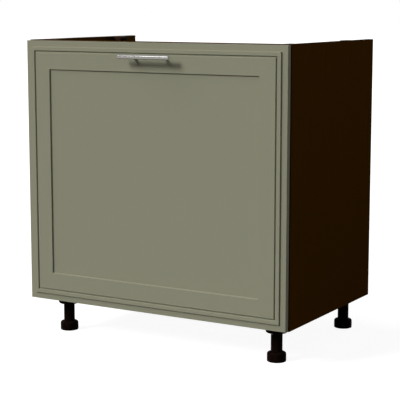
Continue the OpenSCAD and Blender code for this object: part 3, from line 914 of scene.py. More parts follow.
@dataclass(frozen=True)
class Lacquer(Finish):
    """Matt sprayed lacquer on milled fibreboard.

    Attributes:
        thin: colour where the coat is thinnest, on the arrises.
    """

    thin: Colour

    def dress(self, graph: Graph, shader: bpy.types.Node) -> None:
        """Sprays the coat, thinner on the arrises.

        Args:
            graph: the material's tree.
            shader: its Principled shader.
        """
        cloud = SHELF.use(graph, Effect.MOTTLE, Scale=2.5, Contrast=0.8)["Fac"]
        wear = SHELF.use(graph, Effect.WEAR, Scale=60.0, Amount=0.35)["Mask"]
        dust = SHELF.use(graph, Effect.DUST, Scale=1500.0, Amount=0.04)["Mask"]
        skin = SHELF.use(graph, Effect.PEEL, Scale=380.0)["Height"]
        deep = tuple(c * 0.97 for c in self.tone)
        colour = graph.blend(cloud, deep, tuple(c * 1.03 for c in self.tone))
        colour = graph.blend(wear, colour, self.thin)
        colour = graph.blend(dust, colour, (0.5, 0.5, 0.48))
        rough = graph.math("MULTIPLY_ADD", cloud, 0.12, self.rough - 0.06)
        self.feed(graph, shader, colour, rough, skin, 0.00004)


@dataclass(frozen=True)
class Metal(Finish):
    """Steel or zinc.

    Attributes:
        dull: colour in the deeper lines.
        stretch: scales along the three axes; the lines run along the small one.
        lines: how often the lines repeat over a metre.
        depth: depth of the lines.
    """

    dull: Colour
    stretch: Triple
    lines: float = 2500.0
    depth: float = 0.000004

    def dress(self, graph: Graph, shader: bpy.types.Node) -> None:
        """Draws the lines, with clouds in the polish.

        Args:
            graph: the material's tree.
            shader: its Principled shader.
        """
        shader.inputs["Metallic"].default_value = 1.0
        brush = SHELF.use(graph, Effect.BRUSH, Stretch=self.stretch, Scale=self.lines)
        cloud = SHELF.use(graph, Effect.MOTTLE, Scale=35.0, Contrast=1.2)["Fac"]
        dust = SHELF.use(graph, Effect.DUST, Scale=2000.0, Amount=0.05)["Mask"]
        share = graph.math("MULTIPLY", brush["Lines"], graph.fit(cloud, 0.2, 0.8, 0.25, 0.75))
        colour = graph.blend(share, self.tone, self.dull)
        colour = graph.blend(dust, colour, (0.4, 0.39, 0.37))
        rough = graph.math("MULTIPLY_ADD", brush["Lines"], 0.1, self.rough - 0.05)
        rough = graph.math("MULTIPLY_ADD", cloud, 0.06, rough)
        self.feed(graph, shader, colour, rough, brush["Height"], self.depth)


@dataclass(frozen=True)
class Moulded(Finish):
    """Injection-moulded plastic or rubber.

    Attributes:
        scuffed: colour of scuffs on its edges.
        depth: depth of the mould's texture.
    """

    scuffed: Colour
    depth: float = 0.00004

    def dress(self, graph: Graph, shader: bpy.types.Node) -> None:
        """Gives it the mould's skin and a few scuffs.

        Args:
            graph: the material's tree.
            shader: its Principled shader.
        """
        skin = SHELF.use(graph, Effect.SPARK, Scale=1600.0)
        cloud = SHELF.use(graph, Effect.MOTTLE, Scale=25.0)["Fac"]
        wear = SHELF.use(graph, Effect.WEAR, Scale=300.0, Amount=0.3)["Mask"]
        dust = SHELF.use(graph, Effect.DUST, Scale=1800.0, Amount=0.04)["Mask"]
        colour = graph.blend(cloud, tuple(c * 0.85 for c in self.tone),
                             tuple(c * 1.15 for c in self.tone))
        colour = graph.blend(wear, colour, self.scuffed)
        colour = graph.blend(dust, colour, (0.35, 0.34, 0.32))
        rough = graph.math("MULTIPLY_ADD", skin["Sheen"], 0.16, self.rough - 0.08)
        self.feed(graph, shader, colour, rough, skin["Height"], self.depth)


@dataclass(frozen=True)
class Timber(Finish):
    """Plain turned wood.

    Attributes:
        late: colour of the darker rings.
    """

    late: Colour

    def dress(self, graph: Graph, shader: bpy.types.Node) -> None:
        """Shows its grain along x.

        Args:
            graph: the material's tree.
            shader: its Principled shader.
        """
        grain = SHELF.use(graph, Effect.GRAIN, Stretch=(0.08, 1.0, 1.0), Scale=700.0)
        colour = graph.blend(grain["Streaks"], self.tone, self.late)
        rough = graph.fit(grain["Pores"], 0.0, 1.0, self.rough, self.rough + 0.15)
        self.feed(graph, shader, colour, rough, grain["Height"], 0.0001)


class Run(Enum):
    """The axis that a grain or brushing runs along, as its stretch."""

    ALONG_X = (0.05, 1.0, 1.0)
    ALONG_Y = (1.0, 0.05, 1.0)
    ALONG_Z = (1.0, 1.0, 0.05)


# Tone, streaks and pores of each board and edge strip, linear
DARK = ((0.049, 0.019, 0.001), (0.053, 0.021, 0.002), (0.039, 0.015, 0.001))
DARK_EDGE = ((0.028, 0.012, 0.004), (0.036, 0.016, 0.005), (0.02, 0.008, 0.003))
GREY = ((0.58, 0.58, 0.55), (0.53, 0.53, 0.50), (0.46, 0.46, 0.44))
GREY_EDGE = ((0.60, 0.60, 0.57), *GREY[1:])


def melamine(name: str, run: Run, colours: tuple[Colour, ...], rough: float, shine: float,
             *paper: float) -> bpy.types.Material:
    """A melamine whose grain runs one way.

    Args:
        name: the material's name, to which the grain's axis is added.
        run: the axis of its grain.
        colours: its tone, streaks and pores.
        rough: its middle roughness.
        shine: its specular level.
        paper: its grain and depth, where they aren't the usual ones.
    Returns:
        The material.
    """
    tone, streak, pore = colours
    return Melamine(f"{name} {run.name.lower()}", tone, rough, shine, streak, pore, run.value,
                    *paper).material()


def dark_board(run: Run) -> list[bpy.types.Material]:
    """The carcass's board.

    Args:
        run: direction of its grain.
    Returns:
        Its materials for faces, edge strips and core.
    """
    return [melamine("dark board", run, DARK, 0.6, 0.0),
            melamine("dark edge", run, DARK_EDGE, 0.5, 0.0, 140.0, 0.00003),
            CHIPBOARD.material()]


def grey_board(run: Run) -> list[bpy.types.Material]:
    """The drawer's board.

    Args:
        run: direction of its grain.
    Returns:
        Its materials for faces, edge strips and core.
    """
    return [melamine("grey board", run, GREY, 0.5, 0.3, 160.0, 0.00003),
            melamine("grey edge", run, GREY_EDGE, 0.42, 0.35, 220.0, 0.00002),
            CHIPBOARD.material()]


CHIPBOARD = RawBoard("sawn chipboard", (0.30, 0.20, 0.11), 0.85, 0.2)
SAGE = Lacquer("sage lacquer", (0.208, 0.207, 0.149), 0.5, 0.01, (0.23, 0.23, 0.17))
# The handle bar's steel is toned far darker than real steel. This is painted shade in its
# reflection, standing in for surroundings darker than the white room it mirrors. The dull colour of
# its lines is darkened the same way.
DARKENED_HANDLE_STEEL = Metal("handle steel", (0.27, 0.265, 0.25), 0.09, 0.5, (0.24, 0.235, 0.225),
                     Run.ALONG_X.value)
TURNED_STEEL = Metal("turned steel", (0.74, 0.73, 0.70), 0.28, 0.5, (0.60, 0.59, 0.57),
                     (1.0, 1.0, 1.0), 900.0)
RUNNER_ZINC = Metal("runner zinc", (0.62, 0.63, 0.65), 0.36, 0.5, (0.42, 0.43, 0.45),
                    Run.ALONG_Y.value, 1200.0)
SCREW_ZINC = Metal("screw zinc", (0.66, 0.66, 0.64), 0.32, 0.5, (0.48, 0.47, 0.44),
                   (1.0, 1.0, 1.0), 1600.0)
CAST_ZINC = Metal("cast zinc", (0.50, 0.50, 0.51), 0.42, 0.5, (0.30, 0.30, 0.31),
                  (1.0, 1.0, 1.0), 900.0, 0.00002)
BALL_STEEL = Metal("ball steel", (0.75, 0.76, 0.78), 0.10, 0.5, (0.62, 0.63, 0.66),
                   (1.0, 1.0, 1.0), 700.0, 0.000002)
LEG_BLACK = Moulded("leg plastic", (0.0052, 0.0026, 0.0017), 0.5, 0.003, (0.018, 0.013, 0.010))
# The worktop blocks' plastic is toned about half as bright as the plastic itself. It is partly the
# plastic's own dark brown and partly painted shade for the dark top corners where the blocks sit.
SHADE_DARKENED_BLOCK_BROWN = Moulded("block plastic darkened for shade", (0.022, 0.010, 0.005), 0.5, 0.02, (0.045, 0.025, 0.015))
CAGE_GREY = Moulded("cage plastic", (0.07, 0.07, 0.078), 0.45, 0.4, (0.14, 0.14, 0.15))
PAD_CLEAR = Moulded("pad rubber", (0.62, 0.64, 0.63), 0.3, 0.5, (0.7, 0.7, 0.68), 0.00001)
BEECH = Timber("beech", (0.55, 0.36, 0.20), 0.6, 0.3, (0.42, 0.25, 0.13))
FIBREBOARD = RawBoard("bare fibreboard", (0.36, 0.25, 0.15), 0.85, 0.2)


def lacquered() -> list[bpy.types.Material]:
    """Returns the front's materials: lacquer on faces and edges, bare fibreboard in its holes."""
    return [SAGE.material(), SAGE.material(), FIBREBOARD.material()]


def bore(point: Sequence[float], direction: Sequence[float], radius: float, depth: float,
         sink: Pair | None = None, steps: int = 24) -> Form:
    """A tool that drills a hole from a face.

    Args:
        point: middle of the hole on the face.
        direction: direction of drilling.
        radius: radius of the hole.
        depth: its depth from the face.
        sink: radius at the face and depth of a countersink.
        steps: number of sides.
    Returns:
        The tool, which starts a little outside the face.
    """
    mouth = [(radius, -ROUGH_CUT)]
    if sink:
        slope = (sink[0] - radius) / sink[1]
        mouth = [(sink[0] + slope * ROUGH_CUT, -ROUGH_CUT), (radius, sink[1])]
    return Form.turned([(0.0, -ROUGH_CUT), *mouth, (radius, depth), (0.0, depth)],
                       aim(point, direction), steps, role=Role.CORE)


def plus(reach: float, width: float) -> list[Pair]:
    """A cross.

    Args:
        reach: length of an arm from the middle.
        width: width of an arm.
    Returns:
        Its outline.
    """
    r, w = reach, width / 2
    return [(w, w), (w, r), (-w, r), (-w, w), (-r, w), (-r, -w),
            (-w, -w), (-w, -r), (w, -r), (w, -w), (r, -w), (r, w)]


class Head(Enum):
    """Shape of a screw's head."""

    PAN = "pan"
    FLUSH = "flush"


class Drive(Enum):
    """Recess in a screw's head."""

    CROSS = "cross"
    HEX = "hex"


@dataclass(frozen=True)
class Screw:
    """A screw, drawn along +z.

    Attributes:
        radius: outer radius of its thread.
        start: height from z = 0, the head's seat or a flush head's face, to the tip's end.
        head: radius and height of its head.
        kind: shape of its head.
        drive: recess in its head.
        plain: height at which its thread begins.
        pitch: distance between two turns.
        shank: radius above the thread; the thread's core if None.
    """

    radius: float
    start: float
    head: Pair
    kind: Head = Head.PAN
    drive: Drive = Drive.CROSS
    plain: float = 0.0025
    pitch: float = 0.0018
    shank: float | None = None

    def form(self) -> Form:
        """Makes the thread, the point and the head with its recess.

        Returns:
            The screw.
        """
        core = self.radius * 0.68
        wide, tall = self.head
        shank = self.shank or self.radius * 0.95
        tip = self.start - self.radius * 1.6
        if self.kind is Head.PAN:
            top = -tall
            dome = arc((wide - tall * 0.7, -tall * 0.3), tall * 0.7, -90, 0, 5)
            head = [(0.0, top), *dome, (wide, -0.0002), (wide - 0.0002, 0.0), (shank, 0.0)]
        else:
            top = 0.0
            head = [(0.0, 0.0), (wide - 0.0001, 0.0), (wide, 0.0002), (shank, tall)]
        body = Form.turned([*head, (shank, self.plain), (core, self.plain + 0.0006), (core, tip),
                            (core * 0.15, self.start), (0.0, self.start)], HERE, 20)
        body.join(Form.thread(core * 0.98, self.radius, self.pitch, (self.plain, tip), HERE, 16))
        depth = tall * 0.7
        place = Matrix.Translation((0.0, 0.0, top - ROUGH_CUT))
        if self.drive is Drive.CROSS:
            tool = Form.drawn(plus(wide * 0.55, wide * 0.2), place, depth + ROUGH_CUT, taper=0.6)
        else:
            tool = Form.rod(wide * 0.42, 0.0, depth, place, 6)
        return body.cut(tool)

    def driven(self, places: Iterable[Matrix], name: str, body: str, node: str,
               mirrored: bool = False) -> None:
        """Builds all screws of a node as one piece.

        Args:
            places: one matrix per screw, with its axis along z.
            name: the piece's name.
            body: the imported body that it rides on.
            node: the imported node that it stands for.
            mirrored: whether the same screws are on the other side too.
        """
        screws = self.form().copies(places)
        screws = screws.both_sides() if mirrored else screws
        screws.piece(name, body, [SCREW_ZINC.material()], "zinc_steel", node)


@dataclass(frozen=True)
class Lamp:
    """A lamp that is far away.

    Attributes:
        name: its name.
        towards: direction from the cabinet to the lamp.
        spread: angle that it fills in the sky, in degrees.
        strength: its strength.
        mirrored: whether it is only seen in reflections, instead of only lighting things.
    """

    name: str
    towards: Triple
    spread: float
    strength: float
    mirrored: bool = False

    def build(self, point: Triple) -> None:
        """Adds the lamp to the scene.

        Args:
            point: a point that its arrow starts from.
        """
        data = bpy.data.lights.new(self.name, "SUN")
        data.angle, data.energy = math.radians(self.spread), self.strength
        lamp = bpy.data.objects.new(self.name, data)
        lamp.matrix_world = aim(point, self.towards)
        lamp.visible_glossy, lamp.visible_diffuse = self.mirrored, not self.mirrored
        bpy.context.scene.collection.objects.link(lamp)


@dataclass
class Studio:
    """Camera, lamps, world and floor.

    Attributes:
        camera_at: x, depth and height of the camera.
        camera_down: how far it looks down, in degrees.
        camera_round: how far it stands round to the right, in degrees.
        lens: its focal length in millimetres.
        ambient: light of the white surroundings.
        floor_r: radius of the floor.
        floor_tone: brightness of the floor for the light that it throws back, and to look at.
        floor_glow: its own light near the cabinet and far from it, which makes it white.
        middle: where the lamps' arrows start.
        lamps: the lamps.
    """

    camera_at: Triple = (1.8321, -2.87305, 0.9248)
    camera_down: float = 8.667
    camera_round: float = 30.50
    lens: float = 117.68
    ambient: float = 0.05
    floor_r: float = 30.0
    floor_tone: Pair = (0.15, 0.22)
    floor_glow: Pair = (0.93, 1.0)
    middle: Triple = (0.0, -0.24, 0.46)
    lamps: tuple[Lamp, ...] = (
        Lamp("key", (-0.4761, -0.7002, 0.5321), 20.0, 3.41),
        Lamp("shine", (-0.4602, -0.6403, 0.6102), 12.0, 0.62, mirrored=True),
        Lamp("top fill", (-0.6000, -0.2500, 0.7599), 30.0, 1.4),
        Lamp("front fill", (0.25, -0.96, 0.10), 60.0, 0.45),
        Lamp("back fill", (0.0, 1.0, 0.05), 40.0, 0.8),
        Lamp("side fill", (0.5, 0.866, 0.0), 20.0, 1.6))

    def camera(self) -> None:
        """Places the camera of the photo."""
        data = bpy.data.cameras.new("photo camera")
        data.lens, data.sensor_width, data.clip_end = self.lens, 36.0, 2 * self.floor_r
        camera = bpy.data.objects.new("photo camera", data)
        camera.location = spot(self.camera_at)
        camera.rotation_euler = (math.radians(90 - self.camera_down), 0.0,
                                 math.radians(self.camera_round))
        bpy.context.scene.collection.objects.link(camera)
        bpy.context.scene.camera = camera

    @staticmethod
    def straight(graph: Graph) -> bpy.types.NodeSocket:
        """Tells rays that look at something from rays that light it.

        Args:
            graph: a material's tree.
        Returns:
            1 for camera, glossy and transmission rays, and 0 for the others.
        """
        path = graph.add("LightPath").outputs
        both = graph.math("ADD", path["Is Camera Ray"], path["Is Glossy Ray"])
        return graph.add("Math", {0: both, 1: path["Is Transmission Ray"]}, operation="ADD",
                         use_clamp=True).outputs[0]

    def world(self) -> None:
        """Makes the surroundings white to look at, with little light of their own."""
        world = bpy.data.worlds.new("white room")
        bpy.context.scene.world = world
        world.use_nodes = True
        graph = Graph(world.node_tree)
        level = graph.fit(self.straight(graph), 0.0, 1.0, self.ambient, 1.0)
        sky = graph.add("Background", {"Color": (1.0, 1.0, 1.0, 1.0), "Strength": level})
        graph.add("OutputWorld", {0: sky.outputs[0]})

    def floor(self) -> None:
        """Lays a white floor that keeps a faint shadow and fades into the white."""
        form = Form.rod(self.floor_r, -0.02, 0.0, steps=64)
        mesh = bpy.data.meshes.new("studio_floor")
        form.bm.to_mesh(mesh)
        form.bm.free()
        material = bpy.data.materials.new("studio floor")
        material.use_nodes = True
        graph = Graph(material.node_tree)
        seen = self.straight(graph)
        away = graph.add("VectorMath", {0: graph.place()}, operation="LENGTH").outputs[1]
        cloud = graph.noise(graph.place(), 1.5, 3.0)
        white = graph.fit(away, 0.5, 1.6, *self.floor_glow)
        albedo = graph.fit(seen, 0.0, 1.0, *self.floor_tone)
        tone = graph.add("CombineColor", {0: albedo, 1: albedo, 2: albedo}).outputs[0]
        shader = graph.add("BsdfPrincipled", {
            "Base Color": tone, "Roughness": graph.fit(cloud, 0.0, 1.0, 0.9, 1.0),
            "Specular IOR Level": 0.0, "Emission Color": (1.0, 1.0, 1.0, 1.0),
            "Emission Strength": graph.math("MULTIPLY", seen, white)})
        graph.add("OutputMaterial", {0: shader.outputs[0]})
        mesh.materials.append(material)
        floor = bpy.data.objects.new("studio_floor", mesh)
        bpy.context.scene.collection.objects.link(floor)

    def build(self) -> None:
        """Builds the studio, camera first."""
        self.camera()
        self.world()
        self.floor()
        for lamp in self.lamps:
            lamp.build(self.middle)
        bpy.context.scene.view_settings.view_transform = "Standard"
        log.info("studio: camera, %d lamps, floor", len(self.lamps))


@dataclass
class Carcass:
    """Side boards, bottom, rails, their joints and the worktop blocks.

    Attributes:
        depth: depth of the side boards.
        strip: thickness of the front edge strips.
        rail: height of a rail.
        soft: rounding of the boards' edges.
        dowels: depth and height of each dowel.
        dowel_bore: radius of its bore, and the bore's depth in a side board and in a cross board.
        cams: depth and height of each cam, and how far it is turned about x, in degrees.
        cam_in: distance from the side board's face in to a cam's axis.
        cam_pocket: radius and depth of its pocket.
        bolt_bore: radius and depth of a cam bolt's bore in a side board.
        wall_holes: x of the wall screws' holes in the upper rear rail.
        blocks: depth of the front and rear worktop blocks.
        block_reach: how far a block reaches in from the side board.
        block_wall: thickness of its walls.
        block_pitch: distance from its middle to each of its screws.
        block_low: how far it stays below the top edge.
        block_drop: how far its screws are below the top edge.
    """

    depth: float = 0.500
    strip: float = 0.001
    rail: float = 0.100
    soft: float = 0.0005
    dowels: tuple[Pair, ...] = ((0.050, 0.108), (0.450, 0.108), (0.008, 0.788), (0.492, 0.728),
                                (0.492, 0.184))
    cams: tuple[Triple, ...] = ((0.082, 0.108, 0.0), (0.418, 0.108, 0.0), (0.008, 0.752, 90.0),
                                (0.492, 0.692, -90.0), (0.492, 0.148, -90.0))
    dowel_bore: Triple = (0.00405, 0.012, 0.024)
    cam_in: float = 0.034
    cam_pocket: Pair = (0.0075, 0.0125)
    bolt_bore: Pair = (0.00305, 0.011)
    wall_holes: Pair = (-0.256, 0.256)
    blocks: Pair = (0.060, 0.400)
    block_reach: float = 0.030
    block_wall: float = 0.003
    block_pitch: float = 0.011
    block_low: float = 0.001
    block_drop: float = 0.015

    def side_bores(self) -> Form:
        """Gathers what drills the right side board's inner face.

        Returns:
            The tools.
        """
        x, height = INNER_X, TOP_Z - self.block_drop
        tools = [bore(spot((x, y, z)), RIGHT, *self.dowel_bore[:2]) for y, z in self.dowels]
        tools += [bore(spot((x, y, z)), RIGHT, *self.bolt_bore) for y, z, _ in self.cams]
        tools += [bore(spot((x, y, Runners.height)), RIGHT, PILOT_R, PILOT_DEEP,
                       (0.00325, 0.0008), 16) for y in Runners.screw_depths]
        tools += [bore(spot((x, y + s * self.block_pitch, height)), RIGHT, PILOT_R, 0.0111,
                       steps=16) for y in self.blocks for s in (-1, 1)]
        return Form.gathered(tools)

    def side_boards(self) -> None:
        """Builds both side boards."""
        form = Form.block((INNER_X, cab_y(self.strip), BASE_Z), (HALF_W, cab_y(self.depth), TOP_Z),
                          self.soft).edges_by_side(0).cut(self.side_bores())
        left = form.copies((MIRROR,))
        for name, board in (("right", form), ("left", left)):
            board.piece(f"{name}_side_board", "carcass", dark_board(Run.ALONG_Z), "carcass_board",
                        f"side_panel_{name}")

    def cross_board(self, low: Triple, high: Triple, thin: int, dowels: Sequence[int],
                    cams: Sequence[int]) -> Form:
        """A board between the side boards, with the bores in its ends.

        Args:
            low, high: its corners, as x, depth, height.
            thin: axis of its thickness.
            dowels: which dowels are in its ends.
            cams: which cams are in its ends.
        Returns:
            The board.
        """
        board = Form.block(spot(low), spot(high), self.soft).edges_by_side(thin, (0,))
        ends, pockets = [], []
        for k in dowels:
            ends.append(bore(spot((INNER_X, *self.dowels[k])), LEFT, *self.dowel_bore[::2]))
        for k in cams:
            y, z, turn = self.cams[k]
            ends.append(bore(spot((INNER_X, y, z)), LEFT, 0.004, self.cam_in))
            wide, deep = self.cam_pocket
            pockets.append(Form.rod(wide, -ROUGH_CUT, deep, self.cam_place(y, z, turn), 32,
                                    Role.CORE))
        return board.cut(Form.gathered(ends).both_sides(), Form.gathered(pockets).both_sides())

    def cam_place(self, y: float, z: float, turn: float) -> Matrix:
        """Places a right cam, whose z axis goes into the board from its face.

        Args:
            y: its depth.
            z: its height.
            turn: how far it is turned about x, in degrees.
        Returns:
            The placing matrix.
        """
        middle = Matrix.Translation(spot((INNER_X - self.cam_in, y, z)))
        return (middle @ Matrix.Rotation(math.radians(turn), 4, "X")
                @ Matrix.Translation((0.0, 0.0, -BOARD / 2)))

    def cross_boards(self) -> None:
        """Builds the bottom and the three rails."""
        legs = Form.gathered(
            bore((*Legs.screw_at(corner, angle), BASE_Z), UP, PILOT_R, PILOT_DEEP, steps=16)
            for corner in CORNERS for angle in Legs.screw_angles)
        low, high = BASE_Z + BOARD, TOP_Z - 0.060
        rear = self.depth - BOARD
        x = INNER_X
        bottom = self.cross_board((-x, self.strip, BASE_Z), (x, self.depth, low), 2, (0, 1),
                                  (0, 1)).cut(legs)
        front = self.cross_board((-x, 0.0, TOP_Z - self.rail), (x, BOARD, TOP_Z), 1, (2,), (2,))
        upper = self.cross_board((-x, rear, high - self.rail), (x, self.depth, high), 1, (3,), (3,))
        upper.cut(Form.gathered(bore(spot((x, rear, high - self.rail / 2)), BACK, 0.003,
                                     BOARD + ROUGH_CUT) for x in self.wall_holes))
        lower = self.cross_board((-x, rear, low), (x, self.depth, low + self.rail), 1, (4,), (4,))
        for name, board, node in (("bottom_board", bottom, "bottom_panel"),
                                  ("front_top_rail", front, "front_rail"),
                                  ("back_top_rail", upper, "rear_rail_upper"),
                                  ("back_low_rail", lower, "rear_rail_lower")):
            board.piece(name, "carcass", dark_board(Run.ALONG_X), "carcass_board", node)

    def strips(self) -> None:
        """Builds the strips on the front edges."""
        x, soft = INNER_X, 0.0003
        side = Form.block(spot((x, 0.0, BASE_Z)), spot((HALF_W, self.strip, TOP_Z)), soft)
        low = Form.block(spot((-x, 0.0, BASE_Z)), spot((x, self.strip, BASE_Z + BOARD)), soft,
                         Role.EDGE)
        side.both_sides().with_form(low).piece(
            "front_strips", "carcass", [dark_board(Run.ALONG_Z)[1], dark_board(Run.ALONG_X)[1]],
            "edge_band", "edge_bands")

    def dowel_pins(self) -> None:
        """Builds the fluted dowels."""
        points, rows = 32, []
        radii, turns = (0.004, 0.00378), [math.tau * k / points for k in range(points)]
        for share, height in ((0.8, 0.0), (1.0, 0.001), (1.0, 0.033), (0.8, 0.034)):
            rows.append([(share * radii[k % 2] * math.cos(turn),
                          share * radii[k % 2] * math.sin(turn), height)
                         for k, turn in enumerate(turns)])
        pin = Form.lofted(rows, HERE)
        pins = pin.copies(aim(spot((INNER_X + 0.011, y, z)), LEFT) for y, z in self.dowels)
        pins.both_sides().piece("dowel_pins", "carcass", [BEECH.material()], "beech", "dowels")

    def cam_fittings(self) -> None:
        """Builds the cam bolts and the housings that grip their heads."""
        bolt = Form.turned([(0.0, 0.0), (0.0030, 0.0), (0.0034, 0.0006), (0.0025, 0.0012),
                            (0.0025, 0.0310), (0.0018, 0.0318), (0.0018, 0.0330),
                            (0.0031, 0.0332), (0.0035, 0.0338), (0.0035, 0.0360),
                            (0.0028, 0.0370), (0.0, 0.0370)], HERE, 24)
        bolt.join(Form.thread(0.0022, 0.0030, 0.0022, (-self.bolt_bore[1], 0.0003), HERE, 20))
        bolts = bolt.copies(aim(spot((INNER_X, y, z)), LEFT) for y, z, _ in self.cams)
        bolts.both_sides().piece("cam_pins", "carcass", [SCREW_ZINC.material()], "zinc_steel",
                                 "cam_bolts")
        cam = Form.turned([(0.0, 0.0), (0.0071, 0.0), (0.00745, 0.00035), (0.00745, 0.0120),
                           (0.0071, 0.0123), (0.0, 0.0123)], HERE, 40)
        slot = Form.rod(0.0039, -0.0045, 0.0105, aim((0.0, 0.0, BOARD / 2), RIGHT))
        cross = Form.drawn(plus(0.0045, 0.0014), Matrix.Rotation(math.radians(45), 4, "Z")
                           @ Matrix.Translation((0.0, 0.0, -ROUGH_CUT)), 0.002, taper=0.92)
        cam.cut(slot, cross)
        cams = cam.copies(self.cam_place(y, z, turn) for y, z, turn in self.cams)
        cams.both_sides().piece("cam_locks", "carcass", [CAST_ZINC.material()], "zinc_steel",
                                "cam_housings")

    def worktop_blocks(self) -> None:
        """Builds the four blocks that a worktop is screwed to, and their screws."""
        reach, wall, half, tall = self.block_reach, self.block_wall, 0.020, 0.024
        outline = [(0.0, 0.0), (reach, 0.0), (reach, -wall), (wall, -tall), (0.0, -tall)]
        place = axes((0.0, -half, 0.0), LEFT, UP)
        block = Form.drawn(outline, place, 2 * half)
        block.cut(Form.block((-reach - wall, wall - half, -tall - wall),
                             (-wall, half - wall, -wall)))
        block.soften(0.0004)
        holes = [bore((-0.020, 0.0, 0.0), DOWN, 0.0025, wall + ROUGH_CUT)]
        holes += [bore((-wall, s * self.block_pitch, self.block_low - self.block_drop), RIGHT,
                       PILOT_R, wall + ROUGH_CUT, steps=16) for s in (-1, 1)]
        block.cut(Form.gathered(holes))
        # the blocks' plastic is darkened: painted shade
        for name, side, rear in CORNERS:
            at = Matrix.Translation(spot((INNER_X, self.blocks[rear], TOP_Z - self.block_low)))
            block.copies((at,)).on_side(side).piece(
                f"{name}_top_block", "carcass", [SHADE_DARKENED_BLOCK_BROWN.material()], "block_plastic",
                f"worktop_block_{name}")
        Screw(THREAD_R, wall + 0.011, HEAD).driven(
            (aim(spot((INNER_X - wall, y + s * self.block_pitch, TOP_Z - self.block_drop)), RIGHT)
             for y in self.blocks for s in (-1, 1)),
            "top_block_screws", "carcass", "worktop_block_screws", mirrored=True)

    def build(self) -> None:
        """Builds the whole carcass."""
        self.side_boards()
        self.cross_boards()
        self.strips()
        self.dowel_pins()
        self.cam_fittings()
        self.worktop_blocks()


